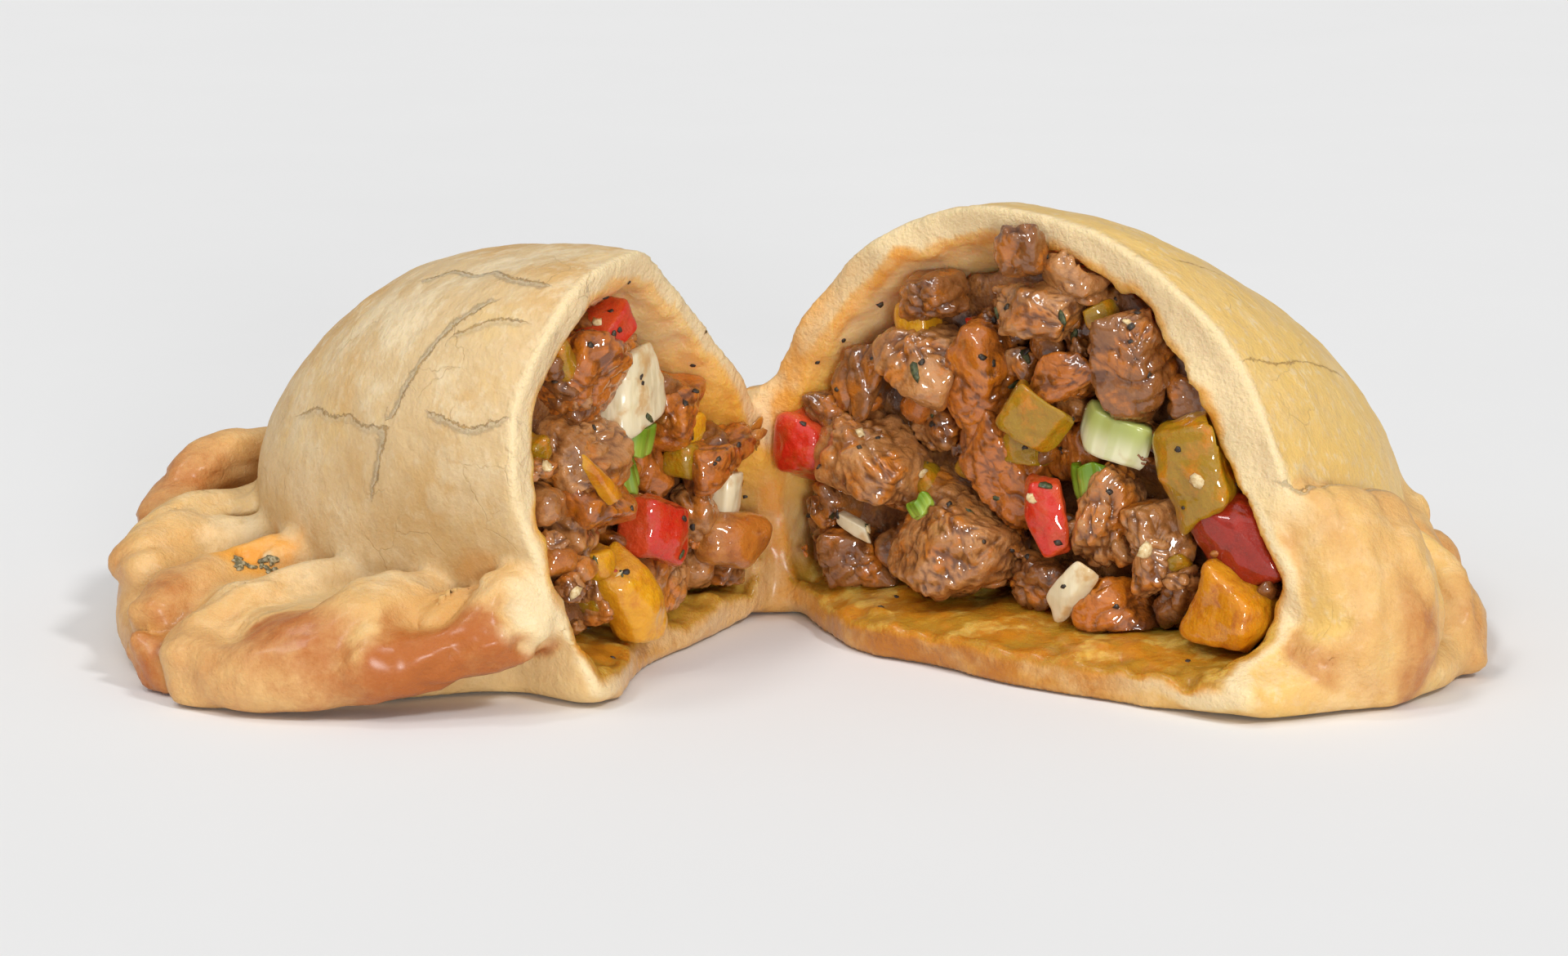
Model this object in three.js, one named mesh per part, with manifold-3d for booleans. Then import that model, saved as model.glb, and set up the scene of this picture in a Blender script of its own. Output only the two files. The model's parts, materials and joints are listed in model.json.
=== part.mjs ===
// A baked meat empanada, cut open from its crimped edge and spread like a book.
// The two halves of the crust still hang together at the folded edge.
// Millimetres, +Z up, standing on z = 0, with the cut open towards -Y.

import * as THREE from 'three';
import { mergeVertices } from 'three/addons/utils/BufferGeometryUtils.js';
import Module from 'manifold-3d';

const wasm = await Module();
wasm.setup();

// The hinge, where the two halves meet, is the start of each half's own axes:
// f runs along the folded edge away from the cut, g from there to the crimp, z up.
const HINGE = { x: -3.36, y: 3.25, height: 24, thickness: 4.2 };

// Clear space between the crust and the filling
const GAP = 0.35;

// Each half is a stuffed dome on a flat seam, with the folds of the crimp on it.
// square is how boxy the dome's profile is, and belly how high its widest line lies.
const LEFT = {
  foldDirection: 148,
  crimpSide: 1,
  seed: 1.7,
  dome: { length: 48.5, width: 46.5, fold: 2.6, height: 42.5 },
  peak: 27,
  tipAt: 13,
  corner: 2.3,
  belly: { fold: 13, crimp: 21, tip: 14 },
  square: { fold: 1.18, crimp: 2.7, tip: 1.95 },
  thickness: 2.7,
  headroom: 1.5,
  cut: { slant: -0.075, recess: 3.6, lip: 0, jag: 0.5 },
  rim: { length: 60, width: 66, fold: 1, height: 5.5, lift: 8, whole: 54, torn: 72 },
  folds: [
    { from: 76, to: 67, radius: 5.4, top: 11 },
    { from: 58, to: 60, radius: 6, top: 11 },
    { from: 43, to: 51, radius: 4.6, top: 11 },
    { from: 29, to: 40, radius: 4.4, top: 11 },
    { from: 12, to: 26, radius: 5, top: 11.5 },
    { from: -4, to: 10, radius: 5, top: 13 },
    { from: -18, to: -7, radius: 4.8, top: 15 },
  ],
};

const RIGHT = {
  foldDirection: 52,
  crimpSide: -1,
  seed: 4.1,
  dome: { length: 57.5, width: 65, fold: 3, height: 46 },
  peak: 29,
  tipAt: 15,
  corner: 2.2,
  belly: { fold: 11, crimp: 10, tip: 12 },
  square: { fold: 1.8, crimp: 2.0, tip: 1.45 },
  thickness: 3.1,
  headroom: 4,
  cut: { slant: 0, recess: 0.8, lip: 9, jag: 0.7 },
  rim: { length: 61, width: 75, fold: 1, height: 4.5, lift: 2.5, whole: 69, torn: 112 },
  folds: [
    { from: 88, to: 82, radius: 6.8, top: 18 },
    { from: 67, to: 64, radius: 6.6, top: 13 },
    { from: 49, to: 47, radius: 6.2, top: 12 },
    { from: 30, to: 31, radius: 6, top: 11 },
    { from: 13, to: 16, radius: 5.8, top: 11 },
    { from: -4, to: 1, radius: 5.6, top: 11 },
    { from: -20, to: -13, radius: 5.2, top: 11 },
  ],
};

// The pieces of filling that show at each cut: g across it, z up and the size
const LEFT_PIECES = [
  { kind: 'meat', g: 32, z: 31, size: 8.5 },
  { kind: 'vegetable', g: 29, z: 34, size: 5 },
  { kind: 'vegetable', g: 23, z: 27.5, size: 8.5 },
  { kind: 'meat', g: 32, z: 21.5, size: 11.5 },
  { kind: 'meat', g: 35, z: 15, size: 7 },
  { kind: 'vegetable', g: 23, z: 22, size: 4.5 },
  { kind: 'vegetable', g: 19, z: 12.5, size: 7.5 },
  { kind: 'meat', g: 15, z: 23.5, size: 7.5 },
  { kind: 'meat', g: 7, z: 18.5, size: 7 },
  { kind: 'vegetable', g: 6, z: 14, size: 4.5 },
  { kind: 'meat', g: 6, z: 9, size: 6.5 },
  { kind: 'meat', g: 11, z: 13, size: 6.5 },
  { kind: 'vegetable', g: 25, z: 7, size: 8.5 },
  { kind: 'meat', g: 18.5, z: 7.5, size: 10 },
  { kind: 'vegetable', g: 32, z: 11, size: 5 },
  { kind: 'meat', g: 31, z: 7.5, size: 5.5 },
];

const RIGHT_PIECES = [
  { kind: 'meat', g: 32, z: 39, size: 7.5 },
  { kind: 'meat', g: 20, z: 35, size: 8 },
  { kind: 'vegetable', g: 18, z: 31.5, size: 5.5 },
  { kind: 'meat', g: 32, z: 34, size: 9.5 },
  { kind: 'meat', g: 44, z: 31, size: 10 },
  { kind: 'meat', g: 18, z: 27, size: 10 },
  { kind: 'meat', g: 11.5, z: 25, size: 8 },
  { kind: 'vegetable', g: 4.5, z: 18.5, size: 7.5 },
  { kind: 'meat', g: 12, z: 16.5, size: 11 },
  { kind: 'meat', g: 26, z: 26, size: 11 },
  { kind: 'meat', g: 27, z: 18.5, size: 11 },
  { kind: 'vegetable', g: 33, z: 25.5, size: 9 },
  { kind: 'vegetable', g: 42, z: 24, size: 7.5 },
  { kind: 'vegetable', g: 39, z: 19, size: 5.5 },
  { kind: 'vegetable', g: 34, z: 15, size: 6.5 },
  { kind: 'meat', g: 21, z: 9.8, size: 13 },
  { kind: 'meat', g: 10, z: 7.5, size: 8.5 },
  { kind: 'meat', g: 33, z: 8, size: 7.5 },
  { kind: 'vegetable', g: 38, z: 8.5, size: 6 },
  { kind: 'meat', g: 42.5, z: 7.5, size: 9 },
  { kind: 'meat', g: 42, z: 16, size: 8 },
  { kind: 'meat', g: 48, z: 14, size: 8.5 },
  { kind: 'vegetable', g: 51, z: 21.5, size: 9.5 },
  { kind: 'vegetable', g: 56, z: 14.5, size: 9.5 },
  { kind: 'vegetable', g: 55.5, z: 9, size: 9 },
];

// How far the pieces' middles and the face of the core lie inside the cut
const PIECE_DEPTH = 2.6;
const CORE_DEPTH = 4.5;

// How far a fold starts inside the dome's foot, and how high its outer end lies
const FOLD_TUCK = 2.5;
const FOLD_END = 5;

const CRUST_FACETS = { around: 38, over: 18 };
const CORE_FACETS = { around: 24, over: 12 };
const SEAM_FACETS = { around: 38, over: 8 };
const FOLD_FACETS = { around: 11, over: 8 };
const HINGE_FACETS = { around: 12, over: 10 };

// Plan axes and places

function planAxes(half) {
  const turn = THREE.MathUtils.degToRad(half.foldDirection);
  const f = new THREE.Vector2(Math.cos(turn), Math.sin(turn));
  const g = new THREE.Vector2(-f.y, f.x).multiplyScalar(half.crimpSide);
  return { f, g };
}

function place(half, f, g, z) {
  const axes = planAxes(half);
  return new THREE.Vector3(
    HINGE.x + f * axes.f.x + g * axes.g.x,
    HINGE.y + f * axes.f.y + g * axes.g.y,
    z,
  );
}

function mix(a, b, t) {
  return a + (b - a) * t;
}

function smoothStep(from, to, value) {
  const t = Math.min(Math.max((value - from) / (to - from), 0), 1);
  return t * t * (3 - 2 * t);
}

// A value that differs towards the folded edge, the crimp and the pointed tip
function towards(values, direction) {
  const across = Math.sin(direction);
  const side = across > 0 ? values.crimp : values.fold;
  return mix(values.tip, side, across * across);
}

// Smooth unevenness of hand-made dough, about one unit high
function wobble(seed, a, b, c, pitch) {
  const k = (2 * Math.PI) / pitch;
  return (
    Math.sin(k * (a + 0.3 * b) + seed) * 0.45 +
    Math.sin(k * (0.8 * b - 0.5 * c) + seed * 2.3) * 0.35 +
    Math.sin(k * (0.9 * c + 0.6 * a - 0.4 * b) + seed * 3.1) * 0.35
  );
}

// How far a plan outline lies from the dome's peak, in a plan direction from there.
// The outline is two half ovals, one to the crimp and one to the folded edge.
function reach(half, outline, direction, grow) {
  const step = new THREE.Vector2(Math.cos(direction), Math.sin(direction));
  let near = 0;
  let far = 2 * outline.length;
  for (let turn = 0; turn < 24; turn += 1) {
    const middle = (near + far) / 2;
    const f = Math.abs(middle * step.x) / (outline.length + grow);
    const g = half.peak + middle * step.y - half.tipAt;
    const side = g >= 0 ? outline.width - half.tipAt : outline.fold + half.tipAt;
    const inside = Math.pow(f, half.corner) + Math.pow(Math.abs(g) / (side + grow), half.corner) < 1;
    if (inside) {
      near = middle;
    } else {
      far = middle;
    }
  }
  return near;
}

function placeAround(half, direction, radius, z) {
  return place(half, radius * Math.cos(direction), half.peak + radius * Math.sin(direction), z);
}

// The crimp is torn short at the cut, down to the dome's own foot
function rimReach(half, direction, grow) {
  const degrees = THREE.MathUtils.radToDeg(direction);
  const torn = smoothStep(half.rim.whole, half.rim.torn, degrees) * smoothStep(184, 150, degrees);
  const full = reach(half, half.rim, direction, grow);
  const base = reach(half, half.dome, direction, grow);
  return mix(full, base, torn);
}

// The rim curls up from the table towards the tip
function rimLift(half, direction) {
  const fromFold = smoothStep(-1.3, -0.5, direction) * smoothStep(4.4, 3.6, direction);
  return half.rim.lift * fromFold * smoothStep(0.6, -0.2, Math.sin(direction));
}

// Solids

function closedSolid(geometry) {
  const bare = geometry.index ? geometry.toNonIndexed() : geometry.clone();
  bare.deleteAttribute('normal');
  bare.deleteAttribute('uv');
  const merged = mergeVertices(bare, 1e-4);
  return new wasm.Manifold(new wasm.Mesh({
    numProp: 3,
    vertProperties: new Float32Array(merged.attributes.position.array),
    triVerts: new Uint32Array(merged.index.array),
  }));
}

function movePoints(geometry, move) {
  const position = geometry.attributes.position;
  const point = new THREE.Vector3();
  for (let i = 0; i < position.count; i += 1) {
    point.fromBufferAttribute(position, i);
    const moved = move(point.clone());
    position.setXYZ(i, moved.x, moved.y, moved.z);
  }
}

// A geometry moved into a half's own axes; the mirrored half turns its triangles over
function shapedInHalf(half, geometry, move) {
  movePoints(geometry, move);
  if (half.crimpSide < 0) {
    const index = geometry.index.array;
    for (let i = 0; i < index.length; i += 3) {
      [index[i], index[i + 1]] = [index[i + 1], index[i]];
    }
  }
  return closedSolid(geometry);
}

function uprightSphere(facets) {
  const sphere = new THREE.SphereGeometry(1, facets.around, facets.over);
  sphere.rotateX(Math.PI / 2);
  return sphere;
}

function directionOf(point) {
  return Math.atan2(point.y, point.x);
}

// The stuffed dome of a whole empanada, of which one half is kept.
// grow makes it thicker all round, and headroom lowers its top.
function dome(half, grow, headroom, facets) {
  return shapedInHalf(half, uprightSphere(facets), (point) => {
    const direction = directionOf(point);
    const belly = towards(half.belly, direction);
    const square = towards(half.square, direction);
    const rise = Math.abs(point.z);
    const run = Math.sqrt(Math.max(1 - rise * rise, 0));
    const top = half.dome.height + grow - headroom;
    const below = point.z < 0;
    const share = below ? Math.pow(run, 0.5) * (1 - 0.07 * rise) : Math.pow(run, 2 / (square + 0.2));
    const lower = Math.max(belly - (belly + 4) * Math.pow(rise, 0.9), -grow);
    const upper = belly + (top - belly) * Math.pow(rise, 2 / square);
    const radius = share * reach(half, half.dome, direction, grow);
    const flat = placeAround(half, direction, radius, 0);
    const lump = 0.8 * share * wobble(half.seed, flat.x, flat.y, upper, 34);
    return placeAround(half, direction, radius + lump, below ? lower : upper);
  });
}

// The flat seam under the folds, a round-edged band with the rim as its outline
function seam(half, grow) {
  return shapedInHalf(half, uprightSphere(SEAM_FACETS), (point) => {
    const around = directionOf(point);
    const direction = around < -2 ? around + 2 * Math.PI : around;
    const run = Math.sqrt(Math.max(1 - point.z * point.z, 0));
    const lump = 0.8 * wobble(half.seed, 40 * Math.cos(direction), 40 * Math.sin(direction), 0, 34);
    const radius = Math.pow(run, 0.35) * (rimReach(half, direction, grow) + lump);
    const flat = point.z < -0.2 ? 0 : half.rim.height * Math.pow((point.z + 0.2) / 1.2, 0.7);
    const lift = rimLift(half, direction) * smoothStep(0.75, 0.95, run);
    return placeAround(half, direction, radius, flat + lift + (flat > 0 ? grow : -grow));
  });
}

// One fold of the crimp, a thick tongue from the dome's foot down to the rim
function crimpFold(half, fold, grow) {
  const from = THREE.MathUtils.degToRad(fold.from);
  const to = THREE.MathUtils.degToRad(fold.to);
  const lift = rimLift(half, to);
  const start = placeAround(half, from, reach(half, half.dome, from, 0) - FOLD_TUCK, fold.top - fold.radius);
  const end = placeAround(half, to, rimReach(half, to, 0) - fold.radius, FOLD_END + lift);
  const along = end.clone().sub(start);
  const halfLength = along.length() / 2 + fold.radius + grow;
  const middle = start.clone().lerp(end, 0.5);
  along.normalize();
  const across = new THREE.Vector3(-along.y, along.x, 0).normalize();
  const up = new THREE.Vector3().crossVectors(along, across);
  const fat = fold.radius + grow;
  const roll = new THREE.SphereGeometry(1, FOLD_FACETS.around, FOLD_FACETS.over);
  roll.rotateZ(Math.PI / 2);
  movePoints(roll, (point) => {
    const side = Math.max(Math.sqrt(Math.max(1 - point.x * point.x, 0)), 1e-6);
    const swell = Math.pow(side, -0.55) * fat;
    const moved = middle.clone()
      .addScaledVector(along, point.x * halfLength)
      .addScaledVector(across, point.y * swell * 1.12)
      .addScaledVector(up, point.z * swell);
    moved.z = Math.max(moved.z, -grow);
    return moved;
  });
  return closedSolid(roll);
}

// Where the torn cut lies along f, at a place across it
function cutLine(half, g, z) {
  const { slant, recess, lip, jag } = half.cut;
  const middle = Math.sin(Math.PI * Math.min(Math.max(z / half.dome.height, 0), 1));
  const floor = (1 - smoothStep(3, 9, z)) * smoothStep(2, 22, g);
  const tear = jag * wobble(half.seed, z, g, g, 11);
  return slant * g + recess * middle * smoothStep(8, 30, g) - lip * floor + tear;
}

// The block in front of the cut, or in front of a face that lies deeper in the half
function cutAway(half, depth) {
  const block = new THREE.BoxGeometry(1, 1, 1, 1, 16, 12);
  return shapedInHalf(half, block, (point) => {
    const g = mix(-30, 100, point.y + 0.5);
    const z = mix(-10, 60, point.z + 0.5);
    return place(half, point.x > 0 ? cutLine(half, g, z) + depth : -120, g, z);
  });
}

function crustHalf(half, grow) {
  let shell = dome(half, grow, 0, CRUST_FACETS).add(seam(half, grow));
  for (const fold of half.folds) {
    shell = shell.add(crimpFold(half, fold, grow));
  }
  const hollow = dome(half, -half.thickness - grow, 0, CRUST_FACETS);
  return shell.subtract(hollow).subtract(cutAway(half, -grow));
}

// The strip of crust that still joins the halves, round-topped and pinched in the middle
function hingeStrip(grow) {
  const strip = uprightSphere(HINGE_FACETS);
  movePoints(strip, (point) => {
    const run = Math.max(Math.sqrt(Math.max(1 - point.z * point.z, 0)), 1e-6);
    const radius = (HINGE.thickness / 2 + grow) * Math.pow(run, -0.5) * (0.85 + 0.35 * point.z * point.z);
    const z = HINGE.height * (0.42 + 0.58 * point.z);
    return new THREE.Vector3(
      HINGE.x + point.x * radius * 1.3,
      HINGE.y + HINGE.thickness * 0.4 + point.y * radius,
      Math.max(z, 0) + (z < 0 ? -grow : grow),
    );
  });
  return closedSolid(strip);
}

function crustSolid(grow) {
  return crustHalf(LEFT, grow).add(crustHalf(RIGHT, grow)).add(hingeStrip(grow));
}

// A lump of meat is a knobbly ball, a piece of vegetable a cut block
function pieceSolid(half, piece, index) {
  const radius = piece.size / 2;
  const isMeat = piece.kind === 'meat';
  const shape = isMeat
    ? new THREE.IcosahedronGeometry(radius * 1.08, 1)
    : new THREE.BoxGeometry(radius * 1.9, radius * 1.5, radius * 1.35);
  const turn = new THREE.Euler(index * 2.1 + half.seed, index * 1.3, index * 0.7);
  const middle = place(half, PIECE_DEPTH - radius * 0.25, piece.g, piece.z);
  movePoints(shape, (point) => {
    const lump = isMeat ? 1 + 0.16 * wobble(index, point.x, point.y, point.z, piece.size * 0.8) : 1;
    return point.multiplyScalar(lump).applyEuler(turn).add(middle);
  });
  return closedSolid(shape);
}

function largestBody(solid) {
  const bodies = solid.decompose();
  bodies.sort((a, b) => b.volume() - a.volume());
  return bodies[0];
}

// The filling runs through its half: a core that fills the crust, with the pieces of its face
function fillingSolid(half, pieces, crustWithGap) {
  const core = dome(half, -half.thickness - 2 * GAP, half.headroom, CORE_FACETS);
  let heap = core.subtract(cutAway(half, CORE_DEPTH));
  pieces.forEach((piece, index) => {
    heap = heap.add(pieceSolid(half, piece, index));
  });
  return largestBody(heap.subtract(crustWithGap));
}

// Nodes

function geometryOf(solid) {
  const mesh = solid.getMesh();
  const geometry = new THREE.BufferGeometry();
  geometry.setAttribute('position', new THREE.BufferAttribute(new Float32Array(mesh.vertProperties), 3));
  geometry.setIndex(new THREE.BufferAttribute(new Uint32Array(mesh.triVerts), 1));
  geometry.computeVertexNormals();
  return geometry;
}

function node(name, solid, color, roughness) {
  const material = new THREE.MeshStandardMaterial({ color, roughness, metalness: 0 });
  const mesh = new THREE.Mesh(geometryOf(solid), material);
  mesh.name = name;
  return mesh;
}

const crustWithGap = crustSolid(GAP);
const fillingLeft = fillingSolid(LEFT, LEFT_PIECES, crustWithGap);
const fillingRight = fillingSolid(RIGHT, RIGHT_PIECES, crustWithGap);

const empanada = new THREE.Group();
empanada.add(node('crust', largestBody(crustSolid(0)), 0xe3c98f, 0.6));
empanada.add(node('filling_left', fillingLeft, 0x8a5632, 0.35));
empanada.add(node('filling_right', fillingRight, 0x935b34, 0.35));

export default empanada;
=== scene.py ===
"""One baked meat empanada, cut open and spread like a book, dressed around its fixed frame."""

import json
import math

import bpy
import numpy as np
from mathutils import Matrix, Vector

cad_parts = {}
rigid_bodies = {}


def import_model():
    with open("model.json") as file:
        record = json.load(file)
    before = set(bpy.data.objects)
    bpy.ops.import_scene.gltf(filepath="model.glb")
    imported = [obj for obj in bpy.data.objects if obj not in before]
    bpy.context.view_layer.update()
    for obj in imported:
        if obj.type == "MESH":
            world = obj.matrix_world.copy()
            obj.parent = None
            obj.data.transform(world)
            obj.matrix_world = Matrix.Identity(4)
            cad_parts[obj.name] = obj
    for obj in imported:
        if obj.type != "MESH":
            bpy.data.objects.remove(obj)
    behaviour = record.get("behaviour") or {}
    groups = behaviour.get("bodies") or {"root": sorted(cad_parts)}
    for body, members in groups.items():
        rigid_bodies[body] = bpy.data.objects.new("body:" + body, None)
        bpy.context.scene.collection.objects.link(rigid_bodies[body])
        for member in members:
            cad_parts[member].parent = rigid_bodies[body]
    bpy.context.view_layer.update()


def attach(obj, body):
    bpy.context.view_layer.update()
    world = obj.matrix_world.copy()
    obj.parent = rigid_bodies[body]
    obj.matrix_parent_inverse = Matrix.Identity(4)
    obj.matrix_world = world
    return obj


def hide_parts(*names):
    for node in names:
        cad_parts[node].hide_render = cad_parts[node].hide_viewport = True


bl_info = {
    "name": "Cut-open meat empanada",
    "version": (1, 0, 0),
    "blender": (4, 5, 0),
    "location": "3D View > Sidebar > Empanada",
    "description": "Bakes, cuts open and fills one meat empanada around its fixed frame",
    "category": "Add Mesh",
}

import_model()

MM = 0.001

# Sizes in millimetres. Each roll of the crimp starts with how brown its inner and its outer end
# are baked and how softly it joins the roll before it, and then runs through points given by
# their place and the roll's radius there.

HINGE = {"x": -3.36, "y": 3.25, "height": 24.0, "thickness": 4.2}

LEFT = {
    "fold_direction": 148.0,
    "crimp_side": 1.0,
    "seed": 1.7,
    "dome": {"length": 48.5, "width": 46.5, "fold": 2.6, "height": 42.5},
    "peak": 27.0,
    "tip_at": 13.0,
    "corner": 2.3,
    "belly": {"fold": 13.0, "crimp": 21.0, "tip": 14.0},
    "square": {"fold": 1.18, "crimp": 2.7, "tip": 1.95},
    "thickness": 3.3,
    "thinner": 1.3,
    "stout": 0.4,
    "cut": {"slant": -0.075, "recess": 3.6, "lip": 0.0, "skirt": 4.6, "jag": 0.5},
    "rim": {"length": 60.0, "width": 66.0, "fold": 1.0, "height": 5.5, "lift": 8.0,
            "whole": 54.0, "torn": 72.0, "tuck": 3.4, "apron": 3.4},
    "rolls": [
        (0.5, 0.7, 3.0, (-48.8, 17.4, 10.2, 3.6), (-56, 16.5, 11, 4), (-60.5, 12.5, 10, 3.8)),
        (0.45, 0.75, 2.6, (-50, 13.6, 13, 3.6), (-57, 12.2, 14.6, 3.4), (-61.6, 9.4, 15, 3.3),
         (-64.4, 5.5, 12.6, 3.4), (-66.7, 1, 10, 3.2)),
        (0.0, 0.4, 2.6, (-52, 2.6, 11.6, 3.2), (-58.6, 0, 11.8, 3), (-62.9, -3, 11.5, 3.2),
         (-66.4, -8, 9.5, 3.3), (-67.6, -11, 8.5, 3)),
        (0.0, 0.45, 2.0, (-52.6, -5.4, 9.4, 2.8), (-59, -6.4, 9.6, 2.6), (-63.5, -9, 8.8, 2.8),
         (-66.4, -14, 7.9, 2.8)),
        (0.25, 0.7, 0.3, (-50.6, -12.4, 9.4, 2.4), (-57, -16.4, 9.1, 2.6), (-61.6, -21, 7.8, 3.1),
         (-64.6, -25, 5.9, 3.3)),
        (0.8, 0.95, 0.8, (-65.4, -27.5, 4.3, 2.4), (-62.9, -29.5, 1.6, 2.4)),
        (0.05, 0.5, 0.3, (-43.4, -19, 9, 2.2), (-48.6, -22.8, 9.4, 2.3), (-52.7, -26, 8.3, 2.8),
         (-56.3, -28.5, 6.7, 3.2), (-59.4, -31.5, 4, 3.5)),
        (0.35, 0.88, 0.35, (-36.9, -29, 9.4, 2.4), (-40.2, -32.5, 10.1, 3), (-43.9, -36, 7.7, 4),
         (-49.8, -37, 5.3, 4.1), (-52, -36.5, 3.9, 3.6)),
        (0.3, 0.72, 2.2, (-36.9, -29.5, 9.3, 2.2), (-38.4, -34, 8.7, 2.5), (-39.5, -37.5, 7.2, 3)),
        (0.7, 0.4, 2.4, (-42.4, -40, 4.4, 3), (-48.5, -39, 4, 3.2), (-54.7, -37.5, 3.5, 3.2),
         (-59, -34, 3.3, 3.4)),
        (0.95, 1.1, 2.0, (-28.4, -36.8, 9, 4.6), (-30.6, -38, 7.6, 4.3), (-33.7, -39.5, 6.5, 3.2),
         (-37.6, -40.2, 5.3, 3), (-41, -40.2, 4.9, 3)),
        (0.05, 0.25, 1.6, (-29.4, -32, 10.4, 2), (-33, -34.6, 10, 2.2), (-36, -37, 8.9, 2.2)),
        (0.1, 0.3, 0.7, (-31.4, -33.5, 11.8, 1.1), (-33.9, -35.5, 11.5, 1.2),
         (-35.8, -37.2, 10.5, 1.1), (-37.2, -38.2, 9.1, 1)),
        (0.1, 0.3, 0.7, (-30.7, -35.2, 10.8, 1), (-32.9, -37, 10, 1.1), (-34.9, -38.6, 9.2, 0.9)),
    ],
}

RIGHT = {
    "fold_direction": 52.0,
    "crimp_side": -1.0,
    "seed": 4.1,
    "dome": {"length": 57.5, "width": 65.0, "fold": 3.0, "height": 46.0},
    "peak": 29.0,
    "tip_at": 15.0,
    "corner": 2.2,
    "belly": {"fold": 11.0, "crimp": 10.0, "tip": 12.0},
    "square": {"fold": 1.8, "crimp": 2.0, "tip": 1.45},
    "thickness": 3.6,
    "thinner": 1.5,
    "stout": 2.4,
    "cut": {"slant": 0.0, "recess": 0.8, "lip": 9.0, "skirt": 0.0, "jag": 0.7},
    "rim": {"length": 61.0, "width": 75.0, "fold": 1.0, "height": 4.5, "lift": 2.5,
            "whole": 69.0, "torn": 112.0, "tuck": 0.0, "apron": 2.6},
    "rolls": [
        (0.48, 0.52, 4.0, (49.6, -33, 18.6, 2.8), (51.2, -34.5, 13.9, 3.6), (52, -36, 8.7, 4.2),
         (51.1, -36.5, 5.4, 3.6)),
        (0.44, 0.44, 4.0, (53.6, -30.4, 17.8, 3), (54.8, -32.6, 13, 4), (55.2, -34.4, 8, 4.5),
         (54.2, -35.2, 4.6, 4)),
        (0.35, 0.6, 4.0, (57.4, -27, 16.4, 3.2), (58.2, -30, 11.9, 4.4), (58.3, -32, 7.3, 4.8),
         (56.9, -33.5, 4, 4)),
        (0.2, 0.45, 0.5, (60, -15, 11, 3), (64.2, -18.5, 9.3, 2.6), (65.1, -21, 5.9, 3.6),
         (65.2, -23, 2.9, 3.6)),
        (0.3, 0.6, 0.7, (58, -1.6, 12.6, 3), (63.1, -3, 12.4, 2.4), (63.2, -7, 9.7, 3),
         (64, -11, 6.6, 3.2)),
        (0.3, 0.6, 0.8, (59, 4, 9.4, 3.2), (64.5, 2.5, 5.5, 4.8)),
        (0.3, 0.7, 0.8, (56, 17, 8, 3.4), (61.2, 14.5, 5, 4.8)),
        (0.3, 0.6, 0.8, (48.5, 30, 8, 3.4), (53.7, 27, 5, 4.8)),
        (0.3, 0.8, 0.8, (36.6, 37.2, 8, 3.2), (43.6, 37, 5, 4.6)),
    ],
}

# The pieces of filling at each cut: kind, place across the cut and up, then width, height
# and depth, the tilt in degrees and how far the middle lies in front of the usual depth

LEFT_PIECES = [
    ("glazed", 32, 30.6, 8.6, 8.6, 8, 14, 1.0),
    ("red", 29, 34.6, 6.5, 3.0, 5, -32, 0.5),
    ("onion", 25.0, 27.8, 8.0, 8.0, 3.2, -16, 2.0),
    ("tan", 32.4, 22.6, 10.0, 8.6, 10, 8, 1.6),
    ("glazed", 32.8, 17.6, 9.4, 7.4, 9, 0, 1.2),
    ("amber", 38.6, 21.6, 1.3, 7.4, 0.9, -48, 6.4),
    ("tan", 34.5, 15, 6.5, 8.0, 8, 0, -0.5),
    ("scallion", 24.6, 22.8, 7.0, 4.2, 3, 8, 3.4),
    ("scallion", 24.6, 18.8, 3.8, 6.0, 3, -10, 2.6),
    ("red", 22.4, 13.4, 8.0, 6.8, 5, 14, 2.8),
    ("glazed", 15.6, 24, 6.4, 8.4, 8, 20, 0),
    ("orange", 3.2, 20.4, 3.8, 3.6, 3, 0, 0.6),
    ("glazed", 10.6, 18.4, 9.6, 4.8, 6, -8, 1.6),
    ("onion", 8.6, 14.4, 4.2, 5.4, 3, 5, 0.6),
    ("orange", 9.6, 9.8, 8.0, 6.0, 6, 12, 1.6),
    ("dark", 6.6, 5.8, 6.6, 3.8, 6, 0, -0.6),
    ("tan", 11.6, 13.2, 5.2, 6.8, 7, -10, 0),
    ("yellow", 29.6, 7.4, 5.8, 10.6, 4.2, -32, 2.6),
    ("tan", 18.6, 7.6, 9.4, 8.0, 8, 0, 0.4),
    ("yellow", 32.6, 12, 4.0, 3.0, 4, -8, 0.6),
    ("tan", 31.6, 7.8, 4.6, 5.0, 6, 0, 0),
    ("red", 31.8, 10.2, 2.4, 2.0, 2.5, 20, 1.6),
    ("tan", 27.2, 29, 6.0, 7.0, 8, 0, -3.0),
    ("tan", 26.5, 16.5, 6.5, 7.5, 8, 0, -2.6),
    ("glazed", 17.5, 18.6, 7.0, 6.5, 8, 0, -2.8),
    ("yellow", 11.5, 21, 4.5, 4.0, 4, 30, -2.4),
    ("tan", 10.5, 7.5, 6.0, 6.0, 7, 0, -2.4),
]

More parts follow.
